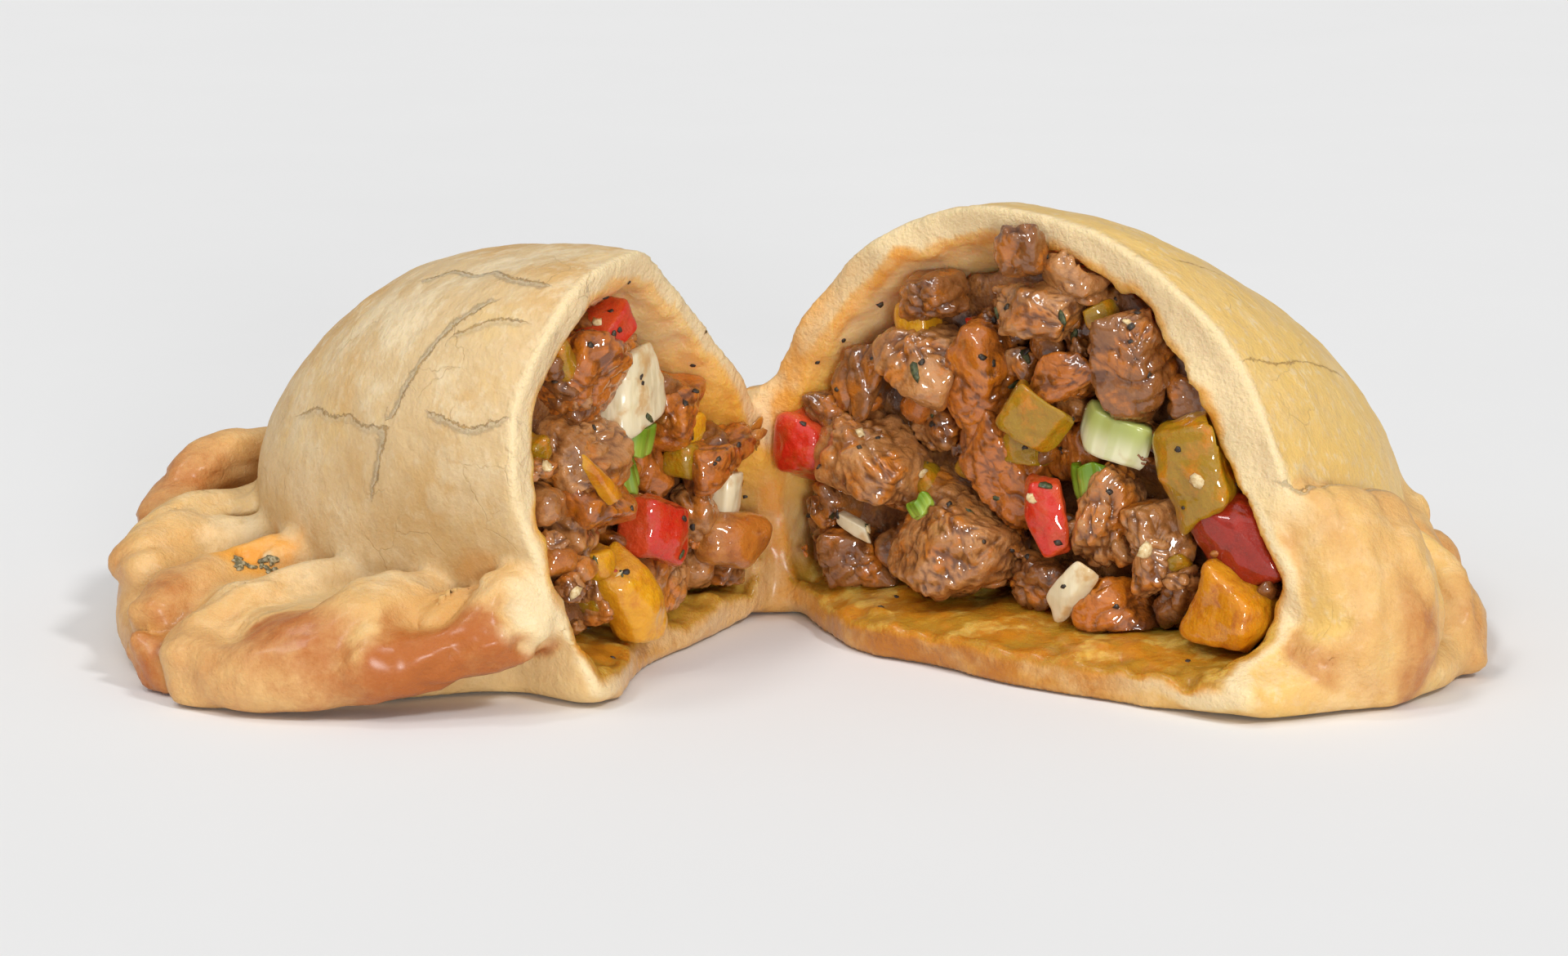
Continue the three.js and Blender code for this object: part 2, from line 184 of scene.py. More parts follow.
RIGHT_PIECES = [
    ("dark", 33.8, 42.4, 4.4, 5.2, 5, 12, 3.4),
    ("tan", 37.6, 39.2, 5.4, 5.2, 6, 20, 0.8),
    ("dark", 20.6, 35.8, 7.2, 4.8, 6, 14, 1.0),
    ("yellow", 18.2, 33, 4.6, 5.2, 3, 6, 0.4),
    ("tan", 33.2, 35.6, 9.8, 5.2, 8, -6, 1.6),
    ("dark", 45.2, 32, 6.2, 11.4, 8, 10, 1.4),
    ("tan", 19.2, 29, 12.0, 6.6, 9, -14, 2.6),
    ("dark", 11, 25.4, 4.6, 7.8, 7, -12, 0),
    ("dark", 6.8, 22.2, 5.4, 5.6, 7, 0, -0.4),
    ("red", 4.6, 18.8, 6.6, 7.2, 5, 8, 1.2),
    ("tan", 13.6, 17.4, 13.0, 8.2, 9, -16, 2.8),
    ("glazed", 25.4, 27.4, 8.6, 10.4, 9, -24, 1.4),
    ("glazed", 28, 19, 7.6, 12.4, 9, 22, 1.6),
    ("olive", 34.4, 25.4, 7.0, 5.8, 3, -28, 3.2),
    ("glazed", 37.4, 29.6, 6.8, 5.4, 6, 30, 2.2),
    ("leek", 43.0, 24.2, 8.6, 7.2, 4.4, -18, 3.4),
    ("scallion", 40.4, 19.2, 5.4, 6.4, 3.6, 10, 2.4),
    ("red", 36.2, 15.6, 4.6, 8.4, 3.4, 16, 3.0),
    ("olive", 31.2, 21.2, 4.6, 3.6, 4, 10, 0),
    ("tan", 22.2, 9.8, 12.4, 12.8, 11, -28, 3.6),
    ("scallion", 22.8, 15.2, 3.4, 2.8, 1.6, 40, 6.4),
    ("dark", 28.4, 11.4, 5.0, 4.6, 6, 0, 0.8),
    ("dark", 10, 6.8, 9.0, 6.0, 8, 0, 0.2),
    ("onion", 11.6, 11, 4.6, 1.6, 1.2, -24, 2.0),
    ("dark", 33, 7.6, 7.0, 5.4, 8, 0, 0.6),
    ("onion", 39.4, 8.6, 6.4, 3.0, 1.6, 50, 3.4),
    ("glazed", 42.4, 5.8, 8.0, 6.8, 8, 24, 1.4),
    ("tan", 41.6, 15.6, 4.8, 10.6, 7, -8, 0.6),
    ("tan", 47.6, 13.4, 6.0, 10.6, 7, 14, 1.2),
    ("olive", 52.4, 21.8, 7.6, 10.4, 5, 14, 0.8),
    ("tomato", 56.2, 15.2, 7.4, 10.4, 5, 24, -1.0),
    ("amber", 57.2, 8.4, 8.4, 8.0, 7, -18, 2.0),
    ("tan", 38.4, 34.4, 7.0, 6.6, 8, 0, -2.6),
    ("dark", 26, 33.8, 6.5, 6.5, 8, 0, -3.0),
    ("dark", 50.5, 28, 6.0, 7.0, 8, 0, -3.2),
    ("glazed", 36, 22, 7.0, 7.0, 8, 0, -2.4),
    ("red", 25, 33, 3.2, 2.2, 4, 0, -1.0),
    ("olive", 40.6, 35.6, 2.6, 3.4, 3, 30, -0.6),
    ("dark", 6.2, 11.4, 6.0, 8.0, 7, 0, -2.6),
    ("tan", 18.5, 21.6, 7.0, 6.0, 8, 0, -2.4),
    ("dark", 50.5, 8.4, 7.0, 7.0, 7, 0, -2.6),
    ("dark", 16, 8.5, 6.0, 7.0, 7, 0, -2.0),
]

# Cracks of the skin: how wide each is, and points it runs through
CRACKS = [
    (0.065, (-30.5, -28, 38.5), (-33.8, -26.9, 36.4), (-37, -26.7, 32.7), (-39.4, -26.3, 28.6),
     (-40.6, -25.6, 25.8), (-41.7, -24.8, 22.3), (-42.3, -24.3, 18.9)),
    (0.045, (-50.8, -11.4, 24.3), (-48.8, -14.2, 25.5), (-47.2, -17.1, 25.1), (-45, -20, 25.8),
     (-43.1, -22.7, 25.2), (-40.6, -25.6, 25.8)),
    (0.05, (-36.1, -30, 28), (-33.4, -32.4, 27.3), (-31.7, -33.7, 27.3), (-29.1, -35.5, 28.6)),
    (0.055, (-37.5, -14.2, 38.6), (-34.4, -16, 39.7), (-32.6, -19.8, 40), (-30.3, -21.4, 40.6),
     (-28.2, -26.1, 40.5), (-25.1, -29.1, 40.5)),
    (0.045, (-33.7, -28.1, 35.7), (-32, -29, 36.4), (-29.8, -30.1, 37.3), (-27.2, -32.1, 37.5)),
    (0.06, (47, -34, 22.2), (48.3, -34.6, 22.1), (50.9, -31, 21.3), (53.1, -30, 21.2),
     (54.3, -28.7, 21), (55.6, -27.9, 20), (57.6, -26.3, 19)),
    (0.035, (41.3, -30.1, 32.4), (43.7, -29.1, 33.2), (46.9, -25.1, 31.9), (49.9, -19.6, 31.2),
     (54.8, -9.8, 28)),
    (0.035, (37, -20, 41), (40.7, -16.2, 39.9), (43.5, -13.3, 38.2)),
]

# Where herbs and oil came through the crimp, and where its last fold was torn off
HERB_SPOT = (-55, -17, 11.9)
HERB_CLUMPS = ((-56.4, -18.2, 10.3), (-54.1, -16.9, 9.7))
CRUMBLY_SPOT = (-24.6, -38.4, 10.2)

# How far the middles of the pieces and the face of the core lie inside the cut
PIECE_DEPTH = 2.4
CORE_DEPTH = 4.4


def a_length(name, description, default, low=0.0):
    """A size that is told in millimetres"""
    return bpy.props.FloatProperty(
        name=name, description=description, default=default * MM, min=low * MM, unit="LENGTH"
    )


def a_count(name, description, default):
    return bpy.props.IntProperty(name=name, description=description, default=default, min=0)


def a_colour(name, description, default):
    return bpy.props.FloatVectorProperty(
        name=name, description=description, default=default, size=3, min=0.0, max=1.0,
        subtype="COLOR",
    )


class EmpanadaSizes(bpy.types.PropertyGroup):
    """Sizes that a baker or a cook would change"""

    crust_step: a_length("Crust detail", "Spacing of the crust's surface points", 0.55, 0.3)
    core_step: a_length("Core detail", "Spacing of the surface points of the filling's core", 0.9, 0.4)
    blister: a_length("Blister height", "How far the baked skin rises and sinks", 0.16)
    fibre: a_length("Meat grain", "How deep the grooves between the fibres of the meat are", 0.42)
    crumbs: a_count("Small bits", "How many small bits lie between the large pieces of each half", 70)
    pepper_specks: a_count("Pepper specks", "How many flecks of ground pepper lie on the filling", 120)


class EmpanadaColours(bpy.types.PropertyGroup):
    """Main colours of the baked crust and of the filling"""

    pastry: a_colour("Pastry", "Pale baked pastry", (0.72, 0.515, 0.27))
    browned: a_colour("Browned pastry", "The darkest browning on the crimp", (0.42, 0.10, 0.005))
    oil: a_colour("Oil stain", "Orange oil soaked into the inside of the crust", (0.42, 0.12, 0.005))
    meat: a_colour("Meat", "Cooked diced beef", (0.42, 0.172, 0.046))


# Smooth noise and small sums

def smooth_step(low, high, value):
    t = np.clip((value - low) / (high - low), 0.0, 1.0)
    return t * t * (3.0 - 2.0 * t)


def fade(low, high, value):
    """Falls smoothly from 1 to 0 between low and high"""
    return 1.0 - smooth_step(low, high, value)


def unit(rows):
    return rows / np.linalg.norm(rows, axis=1, keepdims=True)


def blend_min(a, b, width):
    """The lower of two fields, with a fillet of that width between them"""
    share = np.clip(0.5 + 0.5 * (b - a) / width, 0.0, 1.0)
    return b + (a - b) * share - width * share * (1.0 - share)


def blend_max(a, b, width):
    return -blend_min(-a, -b, width)


def lattice(x, y, z, seed):
    n = (x * 374761393 + y * 668265263 + z * 1274126177 + seed * 974634777) & 0xFFFFFFFF
    n = ((n ^ (n >> 13)) * 1103515245) & 0xFFFFFFFF
    return ((n ^ (n >> 16)) & 0xFFFF) / 32767.5 - 1.0


def grain(points, pitch, seed):
    """Smooth noise from -1 to 1, whose lumps are about pitch apart"""
    p = points / pitch
    cell = np.floor(p).astype(np.int64)
    t = p - cell
    t = t * t * (3.0 - 2.0 * t)
    total = np.zeros(len(points))
    for corner in range(8):
        step = (corner & 1, corner >> 1 & 1, corner >> 2 & 1)
        weight = np.ones(len(points))
        for axis in range(3):
            weight = weight * (t[:, axis] if step[axis] else 1.0 - t[:, axis])
        total += weight * lattice(*(cell[:, axis] + step[axis] for axis in range(3)), seed)
    return total


def rough(points, pitch, seed, octaves=3):
    total = np.zeros(len(points))
    for octave in range(octaves):
        total += grain(points, pitch / 2**octave, seed + 7 * octave) * 0.5**octave
    return total


def wobble(seed, a, b, c, pitch):
    """Slow unevenness of hand-made dough, the same as the solids have"""
    k = 2.0 * math.pi / pitch
    return (
        np.sin(k * (a + 0.3 * b) + seed) * 0.45
        + np.sin(k * (0.8 * b - 0.5 * c) + seed * 2.3) * 0.35
        + np.sin(k * (0.9 * c + 0.6 * a - 0.4 * b) + seed * 3.1) * 0.35
    )


# Plan of a half: f along the folded edge away from the cut, g to the crimp

def half_axes(half):
    turn = math.radians(half["fold_direction"])
    f = np.array([math.cos(turn), math.sin(turn)])
    g = np.array([-f[1], f[0]]) * half["crimp_side"]
    return f, g


def to_half(half, x, y):
    f, g = half_axes(half)
    dx, dy = x - HINGE["x"], y - HINGE["y"]
    return dx * f[0] + dy * f[1], dx * g[0] + dy * g[1]


def from_half(half, points):
    """Points given as f, g and z of a half, as points of the whole part"""
    f, g = half_axes(half)
    out = np.array(points, float)
    flat = points[..., :1] * f + points[..., 1:2] * g
    out[..., 0] = HINGE["x"] + flat[..., 0]
    out[..., 1] = HINGE["y"] + flat[..., 1]
    return out


def towards(values, direction):
    across = np.sin(direction)
    side = np.where(across > 0, values["crimp"], values["fold"])
    return values["tip"] + (side - values["tip"]) * across**2


def reach(half, outline, direction, grow=0.0):
    """How far a plan outline lies from the dome's peak in each direction"""
    turns = np.linspace(-math.pi, math.pi, 1441)
    near, far = np.zeros_like(turns), np.full_like(turns, 2.0 * outline["length"])
    fold_side = outline["fold"] + half["tip_at"] + grow
    crimp_side = outline["width"] - half["tip_at"] + grow
    for _ in range(26):
        middle = (near + far) / 2.0
        f = np.abs(middle * np.cos(turns)) / (outline["length"] + grow)
        g = half["peak"] + middle * np.sin(turns) - half["tip_at"]
        share = np.abs(g) / np.where(g >= 0, crimp_side, fold_side)
        inside = f ** half["corner"] + share ** half["corner"] < 1.0
        near = np.where(inside, middle, near)
        far = np.where(inside, far, middle)
    return np.interp(direction, turns, near)


def rim_reach(half, direction):
    degrees = np.degrees(direction)
    rim = half["rim"]
    torn = smooth_step(rim["whole"], rim["torn"], degrees)
    torn = torn * fade(150.0, 184.0, degrees)
    full = reach(half, rim, direction)
    return full + (reach(half, half["dome"], direction) - full) * torn


def rim_lift(half, direction):
    from_fold = smooth_step(-1.3, -0.5, direction)
    return half["rim"]["lift"] * from_fold * fade(-0.2, 0.6, np.sin(direction))


def cut_line(half, g, z):
    """Where the torn cut lies along f"""
    cut = half["cut"]
    middle = np.sin(np.pi * np.clip(z / half["dome"]["height"], 0.0, 1.0))
    floor = fade(3.0, 9.0, z) * smooth_step(2.0, 22.0, g)
    tear = cut["jag"] * wobble(half["seed"], z, g, g, 11.0)
    slanted = cut["slant"] * g + cut["recess"] * middle * smooth_step(8.0, 30.0, g)
    skirt = smooth_step(22.0, 42.0, g) * fade(0.0, 30.0, z)
    return slanted - cut["lip"] * floor - cut["skirt"] * skirt + tear


def smooth_path(stops, pieces=5):
    """Points along a smooth line through the stops, several for each stretch"""
    stops = np.array(stops, float)
    ends = np.vstack([2 * stops[0] - stops[1], stops, 2 * stops[-1] - stops[-2]])
    t = np.linspace(0.0, 1.0, pieces, endpoint=False)[:, None]
    path = []
    for a, b, c, d in zip(ends, ends[1:], ends[2:], ends[3:]):
        path.append(0.5 * (2 * b + (c - a) * t + (2 * a - 5 * b + 4 * c - d) * t**2
                           + (3 * b - a - 3 * c + d) * t**3))
    return np.vstack([*path, stops[-1:]])


# Fields: how far each point lies outside a form, negative inside it

def dome_field(half, f, g, z, grow, step):
    """The stuffed dome; grow makes it thicker all round"""
    across = g - half["peak"]
    direction = np.arctan2(across, f)
    radius = np.hypot(f, across)
    full = reach(half, half["dome"], direction, grow)
    belly = towards(half["belly"], direction)
    square = towards(half["square"], direction)
    top = half["dome"]["height"] + grow
    up = np.clip((z - belly) / (top - belly), 0.0, 1.4)
    down = np.clip((belly - z) / (belly + 4.0), 0.0, 0.98) ** (1.0 / 0.9)
    narrow = (1.0 - down**2) ** 0.25 * (1.0 - 0.07 * down)
    level = (radius / (full * narrow)) ** (square + 0.2) + up**square - 1.0
    slopes = np.gradient(level, step)
    steep = np.sqrt(sum(s**2 for s in slopes))
    distance = level / np.maximum(steep, 0.012)
    share = np.clip(radius / full, 0.0, 1.0)
    spot = from_half(half, np.stack([f, g, z], -1))
    lump = 0.8 * share * wobble(half["seed"], spot[..., 0], spot[..., 1], z, 34.0)
    return distance - lump


def rim_field(half, f, g, z):
    """The flat seam that the folds lie on, curled up towards the tip"""
    across = g - half["peak"]
    direction = np.arctan2(across, f)
    radius = np.hypot(f, across)
    lump = 0.8 * wobble(half["seed"], 40.0 * np.cos(direction), 40.0 * np.sin(direction), 0.0, 34.0)
    degrees = np.degrees(direction)
    bare = smooth_step(66.0, 84.0, degrees) * fade(120.0, 150.0, degrees)
    outer = rim_reach(half, direction) + lump - half["rim"]["tuck"] * bare
    lift = rim_lift(half, direction) * smooth_step(0.86, 0.99, radius / outer)
    banked = smooth_step(-0.5, -0.1, direction) * fade(0.82, 0.97, radius / outer)
    height = half["rim"]["height"] + half["rim"]["apron"] * banked
    edge = 2.2
    out = radius - outer + edge
    up = np.abs(z - lift - height / 2.0) - height / 2.0 + edge
    corner = np.hypot(np.maximum(out, 0.0), np.maximum(up, 0.0))
    return corner + np.minimum(np.maximum(out, up), 0.0) - edge


def roll_field(roll, points):
    """One roll of the crimp: its field and the share of its length at each point"""
    path = smooth_path(roll[3:])
    best = np.full(len(points), 1e3)
    share = np.zeros(len(points))
    for number, (a, b) in enumerate(zip(path, path[1:])):
        along = b[:3] - a[:3]
        run = np.clip((points - a[:3]) @ along / (along @ along), 0.0, 1.0)
        off = np.linalg.norm(points - a[:3] - run[:, None] * along, axis=1)
        level = off - a[3] - run * (b[3] - a[3])
        share = np.where(level < best, (number + run) / (len(path) - 1), share)
        best = np.minimum(best, level)
    return best, share


# A surface through the zero of a field

def net_surface(field, origin, step):
    """Quads through the places where the field changes sign"""
    cells = [n - 1 for n in field.shape]
    totals = [np.zeros(cells, np.float32) for _ in range(3)]
    count = np.zeros(cells, np.float32)
    crossings = []
    for order in ((0, 1, 2), (1, 2, 0), (2, 0, 1)):
        turned = field.transpose(order)
        low, high = turned[:-1], turned[1:]
        mask = (low < 0) != (high < 0)
        where = np.where(mask, low / np.where(mask, low - high, 1.0), 0.0)
        crossings.append((order, mask, low < 0))
        views = [totals[axis].transpose(order) for axis in order]
        counted = count.transpose(order)
        wide, deep = turned.shape[1] - 1, turned.shape[2] - 1
        for a in (0, 1):
            for b in (0, 1):
                here = mask[:, a:wide + a, b:deep + b]
                views[0] += where[:, a:wide + a, b:deep + b]
                views[1] += a * here
                views[2] += b * here
                counted += here
    used = count > 0
    numbers = np.full(cells, -1, np.int64)
    numbers[used] = np.arange(used.sum())
    corner = np.argwhere(used)
    inside = np.stack([t[used] / count[used] for t in totals], -1)
    points = origin + step * (corner + inside)
    quads = []
    for order, mask, low_inside in crossings:
        ids = numbers.transpose(order)
        i, j, k = np.nonzero(mask[:, 1:-1, 1:-1])
        j, k = j + 1, k + 1
        quad = np.stack([ids[i, j - 1, k - 1], ids[i, j, k - 1], ids[i, j, k], ids[i, j - 1, k]], -1)
        flip = ~low_inside[i, j, k]
        quad[flip] = quad[flip][:, ::-1]
        quads.append(quad)
    return points, np.concatenate(quads)


def sample(field, origin, step, points):
    """The field's value at any points, between its grid's points"""
    p = (points - origin) / step
    p = np.clip(p, 0.0, np.array(field.shape) - 1.001)
    cell = p.astype(np.int64)
    t = p - cell
    total = np.zeros(len(points))
    for corner in range(8):
        shift = np.array([corner & 1, corner >> 1 & 1, corner >> 2 & 1])
        weight = np.prod(np.where(shift, t, 1.0 - t), axis=1)
        spot = cell + shift
        total += weight * field[spot[:, 0], spot[:, 1], spot[:, 2]]
    return total


def slope_at(field, origin, step, points):
    """How steeply the field rises along each axis at the points"""
    out = np.zeros((len(points), 3))
    for axis in range(3):
        shift = np.zeros(3)
        shift[axis] = step * 0.5
        ahead = sample(field, origin, step, points + shift)
        out[:, axis] = ahead - sample(field, origin, step, points - shift)
    return out / step


def relax(points, quads, turns, share):
    """Moves each point part of the way to the middle of its neighbours"""
    a = quads.ravel()
    b = np.roll(quads, -1, axis=1).ravel()
    ends = np.concatenate([a, b])
    others = np.concatenate([b, a])
    number = np.maximum(np.bincount(ends, minlength=len(points)), 1)
    for _ in range(turns):
        middle = np.stack(
            [np.bincount(ends, points[others, axis], len(points)) / number for axis in range(3)], -1
        )
        points = points + share * (middle - points)
    return points


def settle(points, quads, field, origin, step):
    """Evens the net out and brings it back onto the surface"""
    for _ in range(2):
        points = relax(points, quads, 2, 0.6)
        slope = slope_at(field, origin, step, points)
        steep = np.maximum((slope**2).sum(1), 0.05)
        off = np.clip(sample(field, origin, step, points) / steep, -step, step)
        points = points - off[:, None] * slope
    return points


def triangles_of(quads):
    return np.concatenate([quads[:, [0, 1, 2]], quads[:, [0, 2, 3]]])


def point_normals(points, faces):
    a, b, c = points[faces[:, 0]], points[faces[:, 1]], points[faces[:, 2]]
    normal = np.cross(b - a, c - a)
    out = np.zeros_like(points)
    for axis in range(3):
        for corner in range(faces.shape[1]):
            out[:, axis] += np.bincount(faces[:, corner], normal[:, axis], len(points))
    return out / np.maximum(np.linalg.norm(out, axis=1, keepdims=True), 1e-9)


# Blender objects

def mesh_object(name, points, faces, stands_for, material, masks=None):
    """A smooth mesh from millimetre points, with one value a point for each mask"""
    mesh = bpy.data.meshes.new(name)
    sides = faces.shape[1]
    mesh.vertices.add(len(points))
    mesh.vertices.foreach_set("co", (points * MM).astype(np.float32).ravel())
    mesh.loops.add(faces.size)
    mesh.loops.foreach_set("vertex_index", faces.astype(np.int32).ravel())
    mesh.polygons.add(len(faces))
    mesh.polygons.foreach_set("loop_start", np.arange(0, faces.size, sides, dtype=np.int32))
    mesh.polygons.foreach_set("use_smooth", np.ones(len(faces), bool))
    for key, values in (masks or {}).items():
        attribute = mesh.attributes.new(key, "FLOAT", "POINT")
        attribute.data.foreach_set("value", np.asarray(values, np.float32))
    mesh.update(calc_edges=True)
    mesh.validate()
    piece = bpy.data.objects.new(name, mesh)
    bpy.context.scene.collection.objects.link(piece)
    mesh.materials.append(material)
    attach(piece, "root")
    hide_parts(*stands_for)


def thinned(points, quads, most):
    """Triangles of a net, thinned where it is flat until at most that many are left"""
    triangles = triangles_of(quads)
    if len(triangles) <= most:
        return points, triangles
    mesh = bpy.data.meshes.new("thinning")
    mesh.from_pydata(points.tolist(), [], triangles.tolist())
    holder = bpy.data.objects.new("thinning", mesh)
    bpy.context.scene.collection.objects.link(holder)
    thin = holder.modifiers.new("thin", "DECIMATE")
    thin.ratio = most / len(triangles)
    graph = bpy.context.evaluated_depsgraph_get()
    result = bpy.data.meshes.new_from_object(holder.evaluated_get(graph))
    bpy.data.objects.remove(holder)
    kept = np.zeros(len(result.vertices) * 3)
    result.vertices.foreach_get("co", kept)
    result.calc_loop_triangles()
    corners = np.zeros(len(result.loop_triangles) * 3, np.int32)
    result.loop_triangles.foreach_get("vertices", corners)
    bpy.data.meshes.remove(result)
    bpy.data.meshes.remove(mesh)
    return kept.reshape(-1, 3), corners.reshape(-1, 3).astype(np.int64)


def add_node(tree, kind, values=None, **settings):
    item = tree.nodes.new(kind)
    for key, value in settings.items():
        setattr(item, key, value)
    for key, value in (values or {}).items():
        if isinstance(value, bpy.types.NodeSocket):
            tree.links.new(value, item.inputs[key])
        else:
            item.inputs[key].default_value = value
    return item


class Finish:
    """A procedural material, built up layer by layer on one Principled shader"""

    def __init__(self, name, **fixed):
        self.material = bpy.data.materials.new(name)
        self.material.use_nodes = True
        self.tree = self.material.node_tree
        self.shader = self.tree.nodes["Principled BSDF"]
        for key, value in fixed.items():
            self.shader.inputs[key.replace("_", " ")].default_value = value
        self.place = self.tree.nodes.new("ShaderNodeTexCoord").outputs["Object"]
        self.colour = None
        self.height = None

    def vector_maths(self, operation, values):
        item = add_node(self.tree, "ShaderNodeVectorMath", values, operation=operation)
        return item.outputs[0]

    def stretched(self, scale):
        """The place, scaled by its own number along each axis"""
        item = add_node(self.tree, "ShaderNodeMapping", {"Vector": self.place, "Scale": scale})
        return item.outputs["Vector"]

    def warped(self, pitch, amount):
        """The place, pushed about by smooth noise of that pitch"""
        item = add_node(self.tree, "ShaderNodeTexNoise", {
            "Vector": self.place, "Scale": 1.0 / (pitch * MM), "Detail": 3.0,
        })
        push = self.vector_maths("SUBTRACT", {0: item.outputs["Color"], 1: (0.5, 0.5, 0.5)})
        push = self.vector_maths("SCALE", {0: push, "Scale": amount * MM})
        return self.vector_maths("ADD", {0: self.place, 1: push})

    def noise(self, pitch, detail=3.0, roughness=0.55, place=None):
        item = add_node(self.tree, "ShaderNodeTexNoise", {
            "Vector": place or self.place, "Scale": 1.0 / (pitch * MM), "Detail": detail,
            "Roughness": roughness,
        })
        return item.outputs["Fac"]

    def cells(self, pitch, feature="F1", place=None):
        item = add_node(self.tree, "ShaderNodeTexVoronoi", {
            "Vector": place or self.place, "Scale": 1.0 / (pitch * MM),
        }, feature=feature)
        return item.outputs["Distance"]

    def mask(self, name):
        return add_node(self.tree, "ShaderNodeAttribute", attribute_name=name).outputs["Fac"]

    def span(self, value, low, high, out_low=0.0, out_high=1.0):
        """The value, taken smoothly from one range to another"""
        item = add_node(self.tree, "ShaderNodeMapRange", {
            "Value": value, "From Min": low, "From Max": high, "To Min": out_low, "To Max": out_high,
        }, interpolation_type="SMOOTHSTEP")
        return item.outputs["Result"]

    def patches(self, pitch, low, high, detail=3.0, roughness=0.55, least=0.0, most=1.0):
        """Soft patches about that pitch apart, where noise lies between low and high"""
        return self.span(self.noise(pitch, detail, roughness), low, high, least, most)

    def maths(self, operation, a, b=0.0):
        item = add_node(self.tree, "ShaderNodeMath", {0: a, 1: b}, operation=operation)
        return item.outputs["Value"]

    def product(self, first, *others):
        for other in others:
            first = self.maths("MULTIPLY", first, other)
        return first

    def swing(self, pitch, detail, roughness, amount):
        """Noise that swings about that far to both sides of nothing"""
        return self.product(self.maths("SUBTRACT", self.noise(pitch, detail, roughness), 0.5), amount)

    def layer(self, colour, *shares):
        """Lays a colour over what is there, as thickly as the product of the shares says"""
        colour = (*colour, 1.0)
        if shares:
            item = add_node(self.tree, "ShaderNodeMix", {
                0: self.product(*shares), 6: self.colour, 7: colour,
            }, data_type="RGBA")
            colour = item.outputs[2]
        self.colour = colour

    def relief(self, depth, *values):
        """Adds relief of that many millimetres, where the product of the values is 1"""
        added = self.product(*values, depth * MM)
        self.height = added if self.height is None else self.maths("ADD", self.height, added)

    def drive(self, socket, value):
        self.tree.links.new(value, self.shader.inputs[socket])

    def done(self, roughness=None):
        self.drive("Base Color", self.colour)
        if roughness is not None:
            self.drive("Roughness", roughness)
        if self.height is not None:
            bump = add_node(self.tree, "ShaderNodeBump", {"Height": self.height, "Distance": 1.0})
            self.drive("Normal", bump.outputs["Normal"])
        return self.material


# The crust

CRUST_LOW = (-73.5, -47.0, -1.6)
CRUST_HIGH = (73.5, 47.0, 49.0)
CRUST_TRIANGLES = 190000

# The fields of the crust and of both cavities, which the filling is fitted to, and the values
# that they have far outside
fields = {}
FAR = 50.0
OUTSIDE = 20.0

# Fillets between the forms of the crust
RIM_FILLET = 2.2
CRIMP_FILLET = 1.3
CUT_FILLET = 0.5
HALVES_FILLET = 0.8
HINGE_FILLET = 2.4

# Where each half and the strip between them end along x
LEFT_ENDS = 10.0
RIGHT_STARTS = -18.0
HINGE_REACH = 9.0

# Rolls that join more softly than this belong to one fold
ONE_FOLD = 1.5


def crimp_field(half, place):
    """The rolls of the crimp, pleated along their length, with a crease between two folds"""
    rolls, lowest, second = (np.full(place.shape[:-1], FAR) for _ in range(3))
    for roll in half["rolls"]:
        softness, stops = roll[2], np.array(roll[3:])
        low, high = stops[:, :3].min(0) - 11.0, stops[:, :3].max(0) + 11.0
        near = ((place > low) & (place < high)).all(-1)
        spots = place[near]
        level, _ = roll_field(roll, spots)
        along = stops[-1, :3] - stops[0, :3]
        along = along / np.linalg.norm(along)
        streaks = spots - 0.78 * (spots @ along)[:, None] * along
        level = level - 0.6 * grain(spots, 6.0, 17) - 0.32 * grain(spots, 2.6, 18)
        pleat = np.clip(1.0 - 3.2 * np.abs(grain(streaks, 3.6, 23)), 0.0, 1.0)
        level = level - 0.4 * grain(streaks, 2.6, 19) + 0.5 * pleat**2
        rolls[near] = blend_min(rolls[near], level, softness)
        if softness < ONE_FOLD:
            second[near] = np.minimum(second[near], np.maximum(lowest[near], level))
        lowest[near] = np.minimum(lowest[near], level)
    return rolls + 1.2 * fade(0.0, 2.2, second - lowest) ** 2


def tear_crimp(rolls, place):
    """Makes crumbly lumps where the last fold was torn off"""
    away = np.linalg.norm(place - np.array(CRUMBLY_SPOT), axis=-1)
    ragged = away < 7.0
    crumbs = 0.3 + 1.6 * grain(place[ragged], 2.1, 43) + 1.0 * grain(place[ragged], 3.6, 44)
    rolls[ragged] += fade(3.4, 5.8, away[ragged]) * crumbs


def dent_fold(body, place):
    """Dents the fold that the herbs came through"""
    away = np.linalg.norm(place - np.array(HERB_SPOT), axis=-1)
    dent = away < 5.0
    body[dent] = blend_max(body[dent], 2.1 + 0.7 * grain(place[dent], 1.5, 46) - away[dent], 0.6)


def cavity_field(half, f, g, z, place, front, step):
    """The room for the filling, wrinkled on its floor and opened a little at the cut"""
    hollow = dome_field(half, f, g, z, -half["thickness"], step)
    crimp_side = smooth_step(0.55, 0.9, g / half["dome"]["width"])
    high = smooth_step(12.0, 24.0, z) * fade(36.0, 44.0, z)
    hollow = hollow + crimp_side * (half["stout"] * high - half["thinner"] * (1.0 - high))
    level = half["thickness"] - z
    low = z < 8.0
    level[low] += 0.55 * rough(place[low], 5.5, 61, 3)
    hollow = np.maximum(hollow, level)
    beside_fold = fade(24.0, 44.0, g) * smooth_step(6.0, 16.0, z)
    return hollow + 0.66 * np.clip(-front, 0.0, 9.0) * (0.2 + 0.8 * beside_fold)


